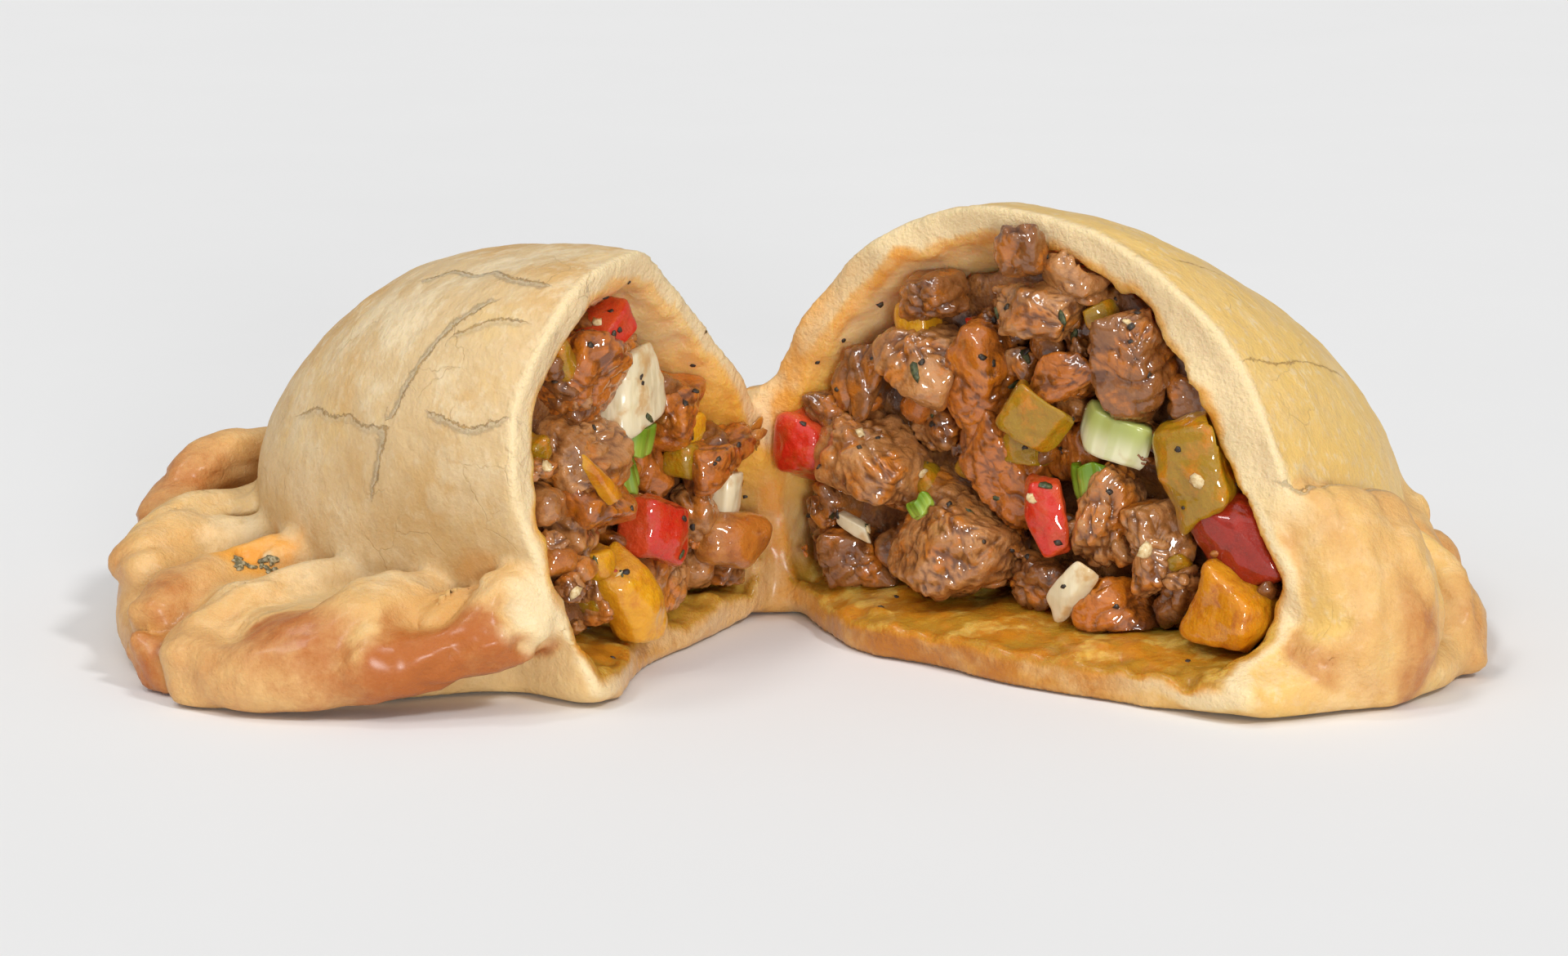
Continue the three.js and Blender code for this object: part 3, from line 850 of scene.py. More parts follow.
def half_crust_field(half, f, g, z, step):
    """One half of the crust, its cavity and its cut, with the cavity's own field"""
    body = dome_field(half, f, g, z, 0.0, step)
    body = blend_min(body, rim_field(half, f, g, z), RIM_FILLET)
    place = from_half(half, np.stack([f, g, z], -1))
    rolls = crimp_field(half, place)
    if half is LEFT:
        tear_crimp(rolls, place)
    body = blend_min(body, rolls, CRIMP_FILLET)
    if half is LEFT:
        dent_fold(body, place)
    front = cut_line(half, g, z) - f
    hollow = cavity_field(half, f, g, z, place, front, step)
    near = np.abs(front) < 3.0
    spots = place[near]
    front[near] += 0.16 * rough(spots, 2.4, 5, 3)
    hollow[near] += 0.65 * grain(spots, 3.1, 11) + 0.4 * grain(spots, 1.5, 12)
    body = blend_max(body, -hollow, CUT_FILLET)
    fillet = 0.6 + 3.6 * smooth_step(1.2, 3.4, hollow) * fade(15.0, 23.0, z)
    return blend_max(body, front, fillet), hollow


def hinge_field(x, y, z):
    """The strip of crust that still joins the halves"""
    top = HINGE["height"]
    high = np.clip((z / top - 0.42) / 0.58, -1.0, 1.0)
    radius = HINGE["thickness"] / 2.0 * (0.85 + 0.35 * high**2)
    flat = np.hypot((x - HINGE["x"]) / 1.3, y - HINGE["y"] - 0.4 * HINGE["thickness"])
    return blend_max(flat - radius, z - top, 1.5)


def build_crust_fields(step):
    """The crust's field and both cavities' fields, on one grid around the whole part"""
    axes = [np.arange(low, high + step, step) for low, high in zip(CRUST_LOW, CRUST_HIGH)]
    shape = tuple(len(axis) for axis in axes)

    def slab(low, high):
        first, last = np.searchsorted(axes[0], (low, high))
        grid = np.meshgrid(axes[0][first:last], axes[1], axes[2], indexing="ij")
        return slice(first, last), *grid

    whole = np.full(shape, OUTSIDE, np.float32)
    spans = (("left", LEFT, CRUST_LOW[0], LEFT_ENDS), ("right", RIGHT, RIGHT_STARTS, CRUST_HIGH[0]))
    for key, half, low, high in spans:
        here, x, y, z = slab(low, high)
        f, g = to_half(half, x, y)
        crust, hollow = half_crust_field(half, f, g, z, step)
        whole[here] = blend_min(whole[here], crust, HALVES_FILLET)
        fields[key] = np.full(shape, OUTSIDE, np.float32)
        fields[key][here] = hollow
    here, x, y, z = slab(HINGE["x"] - HINGE_REACH, HINGE["x"] + HINGE_REACH)
    whole[here] = blend_min(whole[here], hinge_field(x, y, z), HINGE_FILLET)
    whole = blend_max(whole, -axes[2][None, None, :] + np.zeros(shape), CUT_FILLET)
    fields["origin"] = np.array([axis[0] for axis in axes])
    fields["step"] = step
    fields["crust"] = whole.astype(np.float32)


def crack_masks(points, normals):
    """How far each point lies to one side of the nearest crack, how near it is, and its width"""
    side, best, wide = np.full(len(points), 3.0), np.full(len(points), 9.0), np.zeros(len(points))
    for width, *stops in CRACKS:
        stops = np.array(stops)
        near = ((points > stops.min(0) - 5.0) & (points < stops.max(0) + 5.0)).all(1)
        spots, facing = points[near], normals[near]
        for a, b in zip(stops, stops[1:]):
            along = b - a
            run = np.clip((spots - a) @ along / (along @ along), 0.0, 1.0)
            off = spots - a - run[:, None] * along
            off = off - (off * facing).sum(1)[:, None] * facing
            far = np.linalg.norm(off, axis=1)
            turn = np.sign((np.cross(along, facing) * off).sum(1))
            closer = far < best[near]
            side[near] = np.where(closer, turn * far, side[near])
            wide[near] = np.where(closer, width, wide[near])
            best[near] = np.minimum(best[near], far)
    return np.clip(side, -2.0, 2.0), fade(0.5, 1.4, best), wide


def roll_browning(half, points):
    """How brown the folds are baked, and how near each point is to a crease between two folds"""
    weights, shares = np.full(len(points), 1e-9), np.zeros(len(points))
    lowest, second = np.full(len(points), FAR), np.full(len(points), FAR)
    for roll in half["rolls"]:
        inner, outer, softness = roll[:3]
        distance, share = roll_field(roll, points)
        if softness < ONE_FOLD:
            second = np.minimum(second, np.maximum(lowest, distance))
        lowest = np.minimum(lowest, distance)
        weight = np.exp(-np.clip(distance, -6.0, 20.0) / 0.9)
        weights += weight
        shares += weight * (inner + (outer - inner) * smooth_step(0.1, 0.85, share))
    near = np.abs(lowest)
    crease = fade(0.0, 1.6, second - lowest) * fade(1.5, 3.0, near)
    return shares / weights * fade(0.4, 2.2, near), crease


# How far before the cut a half's masks reach
BEFORE_CUT = -14.0


def half_masks(key, half, points, normals):
    """The masks of one half, at all points of the crust"""
    f, g = to_half(half, points[:, 0], points[:, 1])
    z = points[:, 2]
    across = g - half["peak"]
    direction, radius = np.arctan2(across, f), np.hypot(f, across)
    line = cut_line(half, g, z)
    hollow = sample(fields[key], fields["origin"], fields["step"], points)
    baked, valley = roll_browning(half, points)
    if half is RIGHT:
        toast = grain(points * (1.0, 1.0, 0.3), 4.6, 55)
        baked = baked + 0.2 * smooth_step(-0.2, 0.7, toast) * smooth_step(0.1, 0.3, baked)
    else:
        # Painted highlight: the crests of the left crimp are browned less, so they are paler on top
        crest_highlight = smooth_step(9.4, 13.0, z) * fade(-28.0, -20.0, points[:, 1])
        baked = baked * (1.0 - 0.5 * crest_highlight)
    edge = smooth_step(0.86, 1.0, radius / rim_reach(half, direction))
    edge = edge * fade(10.0, 16.0, z) * fade(60.0, 92.0, np.degrees(direction))
    baked = np.maximum(baked, 0.62 * edge)
    under = 0.3 * fade(0.0, 11.0, z + 3.0 * grain(points, 7.0, 53))
    inside = fade(0.2, 1.1, np.abs(hollow))
    facing = fade(0.5, 1.3, np.abs(f - line))
    facing = facing * np.maximum(fade(1.8, 2.8, hollow), smooth_step(15.0, 23.0, z))
    lip = fade(7.0, 10.0, z) * fade(0.7, 1.6, f - line) * fade(0.7, 0.98, g / half["dome"]["width"])
    lip = lip * (1.0 - 0.6 * smooth_step(26.0, 40.0, points[:, 0]))
    floor = smooth_step(0.1, 0.5, normals[:, 2]) * fade(7.0, 9.0, z)
    floor = floor * fade(0.6, 1.4, hollow) * (f > line - 1.5)
    soak = np.maximum(hollow, 0.0) + 0.55 * grain(points, 1.9, 51) + 0.3 * grain(points, 0.9, 52)
    soak = np.maximum(fade(0.2, 1.3, soak), fade(2.0, 16.0, g))
    masks = {
        "baked": np.maximum(baked, under), "valley": valley, "inside": inside, "crumb": facing,
        "oily": np.maximum(inside, lip), "floor": floor, "seep": soak * facing,
    }
    if half is LEFT:
        torn = np.linalg.norm(points - np.array(CRUMBLY_SPOT), axis=1)
        torn = fade(2.4, 5.8, torn + 1.2 * grain(points, 1.6, 45))
        herbs = np.linalg.norm(points - np.array(HERB_SPOT), axis=1)
        herbs = herbs + 0.8 * grain(points, 1.8, 54)
        spilled = fade(3.0, 5.2, herbs) * smooth_step(1.4, 2.2, herbs)
        masks["seep"] = np.maximum(0.45 * soak * facing, spilled)
        masks["crumb"] = np.maximum(facing, np.maximum(torn, fade(1.6, 2.4, herbs)))
        # Painted shade: the lower, less baked part of the left dome, where the colour is darkened
        masks["dusky"] = fade(13.0, 32.0, z) * (1.0 - baked) * (radius > 15.0)
        mine = (f > BEFORE_CUT) & (points[:, 0] < HINGE["x"] + 2.0)
    else:
        mine = (f > BEFORE_CUT) & (points[:, 0] > HINGE["x"] - 6.0)
    return {name: values * mine for name, values in masks.items()}


def crust_masks(points, normals):
    """Where the crust is baked brown, oily, torn to crumb, cracked or seen from inside, and where
    shade is painted
    """
    masks = {}
    for key, half in (("left", LEFT), ("right", RIGHT)):
        for name, values in half_masks(key, half, points, normals).items():
            masks[name] = np.maximum(masks.get(name, 0.0), values)
    masks["baked"] = masks["baked"] * (1.0 - masks["inside"]) * (1.0 - 0.8 * masks["crumb"])
    masks["golden"] = smooth_step(-4.0, 10.0, points[:, 0])
    masks["height"] = points[:, 2]
    masks["crack_side"], masks["crack_near"], masks["crack_wide"] = crack_masks(points, normals)
    return masks


# Colours of the crust's layers, besides those of the colour group
CRUST_TONES = {
    "cream": (0.88, 0.73, 0.48),
    "honey": (0.80, 0.55, 0.22),
    "butter": (0.80, 0.52, 0.15),
    "flour": (0.86, 0.72, 0.48),
    "freckle": (0.60, 0.41, 0.18),
    # Painted shade, in speckles on the lower part of the left dome
    "shade_speckle": (0.46, 0.30, 0.13),
    "gold": (0.76, 0.45, 0.16),
    "flaky": (0.86, 0.61, 0.32),
    "foot": (0.86, 0.60, 0.28),
    # Painted shade in the creases between the folds
    "crease": (0.58, 0.26, 0.05),
    "crumb": (0.87, 0.68, 0.40),
    "inside": (1.0, 0.52, 0.07),
    # Painted light on the upper inside of the shell
    "painted_ceiling_glow": (1.0, 0.78, 0.44),
    "stain": (0.60, 0.25, 0.014),
    "seep": (0.82, 0.34, 0.03),
    "floor": (0.47, 0.235, 0.018),
    "ruddy_floor": (0.60, 0.215, 0.010),
    "creamy_floor": (0.80, 0.54, 0.12),
    "crack": (0.58, 0.32, 0.09),
    "crack_edge": (0.88, 0.74, 0.50),
    "hairline": (0.50, 0.34, 0.15),
}


def lay_skin(look, pastry, broad, fine, dusky, golden):
    """The pale skin, with its cream and butter patches, its freckles, and painted shade on the lower
    part of the left dome
    """
    tones = CRUST_TONES
    look.layer(pastry)
    look.layer(pastry * (0.93, 0.80, 0.60), look.span(broad, 0.42, 0.6))
    look.layer(tones["cream"], look.patches(8.0, 0.48, 0.62, 5.0, 0.65), 0.6)
    look.layer(tones["honey"], look.patches(11.0, 0.54, 0.66, 5.0, 0.65), 0.45)
    look.layer(tones["butter"], golden, look.span(broad, 0.3, 0.6, 0.45, 0.9))
    look.layer(tones["flour"], look.span(fine, 0.5, 0.72), 0.55)
    look.layer(tones["freckle"], look.patches(0.9, 0.54, 0.68, 3.0, 0.6), 0.28)
    look.layer(pastry * (0.84, 0.72, 0.55), look.patches(2.6, 0.5, 0.7, 5.0, 0.7), 0.4)
    # Painted shade: the lower, less baked part of the left dome is darkened, first in speckles and
    # then as a whole
    look.layer(tones["shade_speckle"], dusky, look.patches(2.0, 0.5, 0.62, 6.0, 0.7), 0.35)
    look.layer(pastry * (0.72, 0.66, 0.55), dusky, look.span(broad, 0.25, 0.6, 0.25, 0.7))


def lay_inside(look, oil, inner, height, oily, golden):
    """The glowing inside of the shell, made paler towards its top as painted light, its oil stains and
    the soaked edge of the cut
    """
    tones = CRUST_TONES
    look.layer(tones["inside"], inner, 0.9)
    # Painted light: the inside is made creamier and paler high up under the dome
    look.layer(tones["painted_ceiling_glow"], inner, look.span(height, 23.0, 33.0),
               look.patches(6.0, 0.4, 0.6, 4.0, 0.6, 0.7), 0.85)
    stain = look.product(
        oily, look.patches(7.0, 0.3, 0.62, 5.0, 0.7, 0.62),
        look.span(inner, 0.0, 1.0, 1.0, 0.4), look.span(golden, 0.0, 1.0, 0.62, 1.0),
    )
    look.layer(tones["stain"], stain, 0.97)
    look.layer(oil, look.span(stain, 0.45, 1.15), 0.8)
    look.layer(tones["seep"], look.mask("seep"), look.patches(4.0, 0.36, 0.6, 4.0, 0.6, 0.45), 0.85)


def lay_cracks(look, crumb):
    """The cracks of the skin, with one lifted edge each"""
    side, near, wide = (look.mask("crack_" + name) for name in ("side", "near", "wide"))
    jag = look.swing(1.6, 7.0, 0.9, 2.2)
    off = look.maths("ABSOLUTE", look.maths("ADD", side, jag))
    open_part = look.product(wide, look.patches(2.6, 0.34, 0.62, 2.0, most=1.7))
    line = look.product(
        look.span(look.maths("SUBTRACT", off, open_part), 0.0, 0.07, 1.0, 0.0), near,
        look.maths("SUBTRACT", 1.0, crumb),
    )
    look.layer(CRUST_TONES["crack"], line, 0.6)
    edge = look.maths("ADD", side, look.product(jag, 1.4))
    edge = look.product(
        look.span(edge, 0.05, 0.16), look.span(edge, 0.2, 0.9, 1.0, 0.0), near,
        look.span(wide, 0.036, 0.055),
    )
    look.layer(CRUST_TONES["crack_edge"], edge, 0.5)
    look.relief(0.12, edge)
    look.relief(-0.1, line)


def crust_finish(colours):
    look = Finish("baked_crust", Subsurface_Scale=0.004, Subsurface_Radius=(1.0, 0.55, 0.2),
                  IOR=1.45, Specular_IOR_Level=0.2, Coat_Roughness=0.26)
    tones = CRUST_TONES
    baked, oily, crumb, dusky, golden, height, inside, floor = (look.mask(name) for name in (
        "baked", "oily", "crumb", "dusky", "golden", "height", "inside", "floor",
    ))
    broad = look.noise(14.0, 5.0, 0.6)
    fine = look.noise(1.3, 4.0, 0.6)
    lay_skin(look, np.array(colours.pastry), broad, fine, dusky, golden)
    uneven = look.maths("ADD", baked, look.swing(5.0, 7.0, 0.72, 1.1))
    gold = look.product(look.span(uneven, 0.05, 0.5), look.span(baked, 0.02, 0.25))
    brown = look.product(look.span(uneven, 0.22, 1.05), look.span(baked, 0.2, 0.8))
    look.layer(tones["gold"], gold, 0.85)
    look.layer(tones["flaky"], look.span(baked, 0.02, 0.2), look.patches(3.4, 0.47, 0.62, 6.0, 0.7),
               look.span(baked, 0.2, 0.7, 0.55, 0.1))
    look.layer(tones["foot"], dusky, look.span(height, 3.0, 11.0, 1.0, 0.0), 0.7)
    look.layer(colours.browned, brown, 0.94)
    # Painted shade in the creases between two folds of the crimp
    look.layer(tones["crease"], look.mask("valley"), 0.6)
    look.layer(tones["crumb"], crumb, 0.88)
    inner = look.product(inside, look.span(height, 10.0, 16.0))
    lay_inside(look, colours.oil, inner, height, oily, golden)
    look.layer(tones["floor"], floor, 0.92)
    look.layer(tones["ruddy_floor"], floor, look.patches(9.0, 0.47, 0.58, 5.0, 0.62), 0.8)
    look.layer(tones["creamy_floor"], floor, look.patches(6.4, 0.53, 0.64, 5.0, 0.62), 0.7)
    lay_cracks(look, crumb)
    look.relief(0.25, broad)
    look.relief(0.26, look.noise(3.6, 4.0, 0.6))
    look.relief(0.2, fine)
    look.relief(0.4, look.noise(2.2, 6.0, 0.7), look.span(baked, 0.0, 0.4))
    spongy = look.maths("MAXIMUM", crumb, look.product(inner, 0.5))
    look.relief(0.3, spongy, look.noise(0.9, 5.0, 0.7))
    look.relief(0.04, look.noise(0.45, 2.0, 0.5))
    web = look.cells(6.5, "DISTANCE_TO_EDGE", look.warped(2.4, 2.6))
    web = look.product(
        look.span(web, 0.0, 0.02, 1.0, 0.0), look.patches(9.0, 0.5, 0.62),
        look.span(look.maths("MAXIMUM", baked, oily), 0.05, 0.3, 1.0, 0.0),
    )
    look.layer(tones["hairline"], web, 0.35)
    look.relief(-0.05, web)
    wet = look.product(look.maths("MAXIMUM", oily, floor), 0.9)
    shiny = look.maths("MAXIMUM", look.product(brown, 0.7), wet)
    look.drive("Coat Weight", look.maths("ADD", look.product(shiny, 0.6), 0.12))
    look.drive("Subsurface Weight", look.span(inside, 0.0, 1.0, 0.15, 0.75))
    matt = look.span(fine, 0.3, 0.8, 0.5, 0.66)
    return look.done(look.maths("SUBTRACT", matt, look.product(shiny, 0.25)))


class EMPANADA_OT_crust(bpy.types.Operator):
    """Both halves of the baked crust, with the crimp, the cut and the strip that joins them"""

    bl_idname = "empanada.crust"
    bl_label = "Crust"

    def execute(self, context):
        sizes = context.scene.empanada_sizes
        step = sizes.crust_step / MM
        build_crust_fields(step)
        origin, field = fields["origin"], fields["crust"]
        points, quads = net_surface(field, origin, step)
        points = settle(points, quads, field, origin, step)
        points, faces = thinned(points, quads, CRUST_TRIANGLES)
        normals = point_normals(points, faces)
        masks = crust_masks(points, normals)
        height = sizes.blister / MM
        skin = height * rough(points, 5.0, 3, 3) + 0.35 * height * grain(points, 1.2, 9)
        flat = smooth_step(0.05, 0.8, points[:, 2])
        points = points + normals * (skin * flat)[:, None]
        points[:, 2] = np.maximum(points[:, 2], 0.0)
        finish = crust_finish(context.scene.empanada_colours)
        mesh_object("crust_shell", points, faces, ("crust",), finish, masks)
        return {"FINISHED"}


# The filling

def ball(sides):
    """Directions and triangles of an even ball, with that many steps along each of six sides"""
    turn = np.linspace(-math.pi / 4, math.pi / 4, sides + 1)
    a, b = (v.ravel() for v in np.meshgrid(np.tan(turn), np.tan(turn), indexing="ij"))
    ends = []
    for axis in range(3):
        for sign in (-1.0, 1.0):
            flat = np.ones((len(a), 3)) * sign
            flat[:, (axis + 1) % 3] = a * sign
            flat[:, (axis + 2) % 3] = b
            ends.append(flat)
    ends = unit(np.vstack(ends))
    i, j = (v.ravel() for v in np.meshgrid(np.arange(sides), np.arange(sides), indexing="ij"))
    corner = i * (sides + 1) + j
    quads = np.stack([corner, corner + sides + 1, corner + sides + 2, corner + 1], -1)
    quads = np.vstack([quads + side * (sides + 1) ** 2 for side in range(6)])
    _, first, merged = np.unique(np.round(ends, 6), axis=0, return_index=True, return_inverse=True)
    return ends[first], triangles_of(merged.ravel()[quads])


def bumps(points, pitch, seed):
    """How far each point lies from the nearest and the next of many scattered seeds, in pitches"""
    p = points / pitch
    cell = np.floor(p).astype(np.int64)
    best, second = np.full(len(points), 9.0), np.full(len(points), 9.0)
    for number in range(27):
        near = cell + np.array([number % 3 - 1, number // 3 % 3 - 1, number // 9 - 1])
        jitter = np.stack([lattice(*near.T, seed + k) for k in (0, 41, 83)], -1)
        far = np.linalg.norm(near + 0.5 + 0.42 * jitter - p, axis=1)
        second = np.minimum(second, np.maximum(best, far))
        best = np.minimum(best, far)
    return best, second


def blunt_block(u, planes, reach_of, power):
    """A block bounded by flat sides with blunt edges, as distance along each direction"""
    facing = np.maximum(u @ planes.T, 0.0) / reach_of
    return (facing**power).sum(1) ** (-1.0 / power)


# How pale each kind of beef is, and how much larger than its outline a die is made
MEAT_TONES = {"tan": 0.85, "dark": 0.1, "glazed": 0.45}
MEAT_SWELL = 1.08


def meat_lump(kind, size, seed, fibre, small):
    """A die of cooked beef: torn blunt sides, a grainy surface and grooves along its fibres"""
    u, faces = ball(7 if small else int(np.clip(1.25 * (size[0] + size[2]), 14, 30)))
    fibre = 0.4 * fibre if small else fibre
    rng = np.random.default_rng(seed)
    sides = np.vstack([np.eye(3), -np.eye(3), rng.normal(size=(6, 3))])
    sides = unit(sides + rng.normal(size=sides.shape) * 0.3)
    distance = np.concatenate([rng.uniform(0.74, 1.0, 6), rng.uniform(0.85, 1.15, 6)])
    radius = blunt_block(u, sides, distance, 10.0)
    p = u * np.clip(radius, 0.62, 1.3)[:, None] * np.array(size) / 2.0
    along = rng.normal(size=3)
    along = along / np.linalg.norm(along)
    fibres = p - 0.72 * (p @ along)[:, None] * along
    groove = np.clip(1.0 - np.abs(grain(fibres, 2.0, seed + 5)) * 2.8, 0.0, 1.0)
    bent = p + 0.5 * np.stack([grain(p, 1.6, seed + 60 + axis) for axis in range(3)], -1)
    near, second = bumps(bent - 0.35 * (p @ along)[:, None] * along, 1.5, seed + 11)
    crease = fade(0.0, 0.22, second - near) * smooth_step(-0.7, 0.25, grain(p, 4.0, seed + 70))
    smooth = 0.55 if kind == "glazed" else 1.0
    push = 0.55 * rough(p, 4.4, seed + 3, 2) - fibre * groove**1.5
    push = push - smooth * (0.35 * (near - 0.5) + 0.3 * crease) + 0.07 * grain(p, 0.7, seed + 13)
    p = p + u * push[:, None]
    # Darkened in the colour: painted shade in the grooves and creases, together with the sauce that
    # gathers in them
    deep = np.clip(groove * 0.5 + 0.75 * crease, 0.0, 1.0)
    tone = MEAT_TONES[kind] + rng.uniform(-0.1, 0.1)
    return p, faces, {"deep": deep, "tone": np.full(len(p), tone)}


def cut_dice(size, seed, power, bend, sides_of=20):
    """A cut block of vegetable, with soft edges, uneven sides and a bend"""
    u, faces = ball(sides_of)
    rng = np.random.default_rng(seed)
    sides = np.vstack([np.eye(3), -np.eye(3), rng.normal(size=(2, 3))])
    sides = unit(sides + rng.normal(size=sides.shape) * np.array([0.16] * 6 + [0.0] * 2)[:, None])
    distance = np.concatenate([rng.uniform(0.86, 1.0, 6), rng.uniform(1.0, 1.2, 2)])
    p = u * np.clip(blunt_block(u, sides, distance, power), 0.6, 1.5)[:, None]
    skin = smooth_step(0.45, 0.8, -p[:, 1])
    spread = np.array(size) / 2.0
    p = p * spread
    p[:, 1] += min(bend, 0.2 * size[1]) * ((p[:, 0] / spread[0]) ** 2 - 0.3)
    p[:, 0] *= 1.0 + rng.uniform(-0.2, 0.2) * p[:, 2] / spread[2]
    uneven = 0.42 * min(1.0, min(size) / 4.0)
    p += u * (uneven * rough(p, 3.4, seed, 3) + 0.06 * grain(p, 0.8, seed + 2))[:, None]
    masks = {"skin": skin, "tone": np.full(len(p), rng.uniform()), "across": u[:, 0]}
    return p, faces, masks


def layered_leaf(size, seed, arc, thick):
    """A curved slice of onion, leek or scallion, ribbed along its length"""
    width, height, depth = size
    across, along = 26, 14
    angle = np.linspace(-arc / 2, arc / 2, across)
    run = np.linspace(-0.5, 0.5, along)
    radius = width / 2.0 / max(math.sin(min(arc, math.pi) / 2.0), 0.3)
    rng = np.random.default_rng(seed)
    wave = 0.12 * np.sin(angle[:, None] * 9.0 + rng.uniform(0, 6))
    wave = wave + 0.25 * rng.normal() * run[None, :]
    layers = []
    for side in (0.0, 1.0):
        r = radius - side * thick + 0.05 * np.cos(angle * 17.0)[:, None] + wave
        edge = 1.0 - 0.12 * (2 * np.abs(run[None, :])) ** 4
        x = r * np.sin(angle)[:, None] * edge
        y = -(r * np.cos(angle)[:, None] - radius * math.cos(arc / 2)) + 0 * run[None, :]
        z = height * run[None, :] + 0.25 * np.sin(angle * 5.0 + seed)[:, None]
        layers.append(np.stack([x, y + depth * 0.3, z + 0 * x], -1).reshape(-1, 3))
    points = np.vstack(layers)
    n = across * along
    number = np.arange(n).reshape(across, along)
    front = [number[:-1, :-1], number[1:, :-1], number[1:, 1:], number[:-1, 1:]]
    front = np.stack(front, -1).reshape(-1, 4)
    quads = [front, n + front[:, [0, 3, 2, 1]]]
    for line in (number[:, 0], number[::-1, -1], number[0, ::-1], number[-1]):
        quads.append(np.stack([line[:-1], n + line[:-1], n + line[1:], line[1:]], -1))
    masks = {
        "across": np.tile(np.repeat(angle, along), 2),
        "fade": np.tile(run + 0.5, 2 * across),
        "tone": np.full(2 * n, rng.uniform()),
        "skin": np.ones(2 * n),
    }
    return points, triangles_of(np.concatenate(quads)), masks


# How the pieces of each vegetable are made: a leaf's arc and thickness, or how blunt a cut block
# is and how far it bends
LEAVES = {"scallion": (1.9, 1.0), "leek": (1.3, 1.8)}
BLOCKS = {"onion": (9.0, 0.6), "orange": (4.0, 0.2)}
USUAL_BLOCK = (9.0, 0.7)
SMALL_BLOCK = (5.0, 0.1, 6)


def piece_shape(kind, size, seed, fibre, small):
    if kind in MEAT_TONES:
        return meat_lump(kind, size, seed, fibre, small)
    if small:
        return cut_dice(size, seed, *SMALL_BLOCK)
    if kind in LEAVES:
        return layered_leaf(size, seed, *LEAVES[kind])
    return cut_dice(size, seed, *BLOCKS.get(kind, USUAL_BLOCK))


def keep_inside(half_key, half, points):
    """Brings points that would cut into the crust back into its cavity"""
    origin, step = fields["origin"], fields["step"]
    gap = 0.25
    for _ in range(3):
        off = sample(fields[half_key], origin, step, points) + gap
        f, g = to_half(half, points[:, 0], points[:, 1])
        out = (off > 0) & (f > cut_line(half, g, points[:, 2]) - 0.5)
        if not out.any():
            break
        slope = slope_at(fields[half_key], origin, step, points[out])
        steep = np.maximum((slope**2).sum(1), 0.2)
        points[out] -= slope * (off[out] / steep)[:, None]
    points[:, 2] = np.maximum(points[:, 2], half["thickness"] + gap)
    return points


HALVES = {"left": (LEFT, LEFT_PIECES), "right": (RIGHT, RIGHT_PIECES)}
CRUMB_KINDS = ("tan", "dark", "glazed", "tan", "dark", "glazed", "tan", "dark", "orange", "olive")
CRUMB_SIZES = (1.8, 4.2)
CRUMB_ROOM = 1.8
FILLING_END = 62.0


def crumb_pieces(half_key, count):
    """Small bits of the filling, scattered between the large pieces"""
    half = HALVES[half_key][0]
    rng = np.random.default_rng(len(half_key))
    found = []
    while len(found) < count:
        g, z = rng.uniform(4.0, FILLING_END), rng.uniform(5.0, 42.0)
        spot = np.array([[float(cut_line(half, np.array(g), np.array(z))) + CORE_DEPTH, g, z]])
        room = sample(fields[half_key], fields["origin"], fields["step"], from_half(half, spot))[0]
        if room > -CRUMB_ROOM or z > 20.0 + 0.75 * min(g, FILLING_END - g):
            continue
        size = rng.uniform(*CRUMB_SIZES)
        kind = CRUMB_KINDS[len(found) % len(CRUMB_KINDS)]
        forward = PIECE_DEPTH - CORE_DEPTH + rng.uniform(0.6, 2.6)
        height = size * rng.uniform(0.6, 1.0)
        found.append((kind, g, z, size, height, size, rng.uniform(-60, 60), forward))
    return found


def placed_pieces(half_key, kinds, fibre, crumbs):
    """All pieces of some kinds, set at their places at one cut, as one mesh"""
    half, pieces = HALVES[half_key]
    points, faces, masks, start = [], [], {}, 0
    for number, piece in enumerate(pieces + crumb_pieces(half_key, crumbs)):
        kind, g, z, width, height, depth, tilt, forward = piece
        if kind not in kinds:
            continue
        seed = 100 * int(half["seed"] * 10) + number
        small = number >= len(pieces)
        if kind in MEAT_TONES and not small:
            width, height, depth = (MEAT_SWELL * size for size in (width, height, depth))
        p, triangles, values = piece_shape(kind, (width, depth, height), seed, fibre, small)
        turn = math.radians(tilt)
        turned = p.copy()
        turned[:, 0] = p[:, 0] * math.cos(turn) - p[:, 2] * math.sin(turn)
        turned[:, 2] = p[:, 0] * math.sin(turn) + p[:, 2] * math.cos(turn)
        deep = PIECE_DEPTH + max(depth / 2.0 - 3.5, -1.0) - forward
        spot = np.stack([turned[:, 1] + deep, turned[:, 0] + g, turned[:, 2] + z], -1)
        spot[:, 0] += float(cut_line(half, np.array(float(g)), np.array(max(z, 9.0))))
        world = keep_inside(half_key, half, from_half(half, spot))
        faces.append((triangles if half["crimp_side"] < 0 else triangles[:, ::-1]) + start)
        points.append(world)
        start += len(world)
        f, _ = to_half(half, world[:, 0], world[:, 1])
        # How far behind the cut each point lies, for the painted shade deeper in
        values["recess"] = f - cut_line(half, np.full(len(f), float(g)), world[:, 2])
        for name, value in values.items():
            masks.setdefault(name, []).append(value)
    return np.vstack(points), np.vstack(faces), {k: np.concatenate(v) for k, v in masks.items()}


# The box that each core lies in, and how far its top lies under the dome's
CORES = {
    "left": ((-62.0, -40.0, 2.0), (0.0, 42.0, 45.0), 3.0),
    "right": ((-4.0, -40.0, 2.0), (66.0, 42.0, 45.0), 5.5),
}
CORE_TRIANGLES = 60000


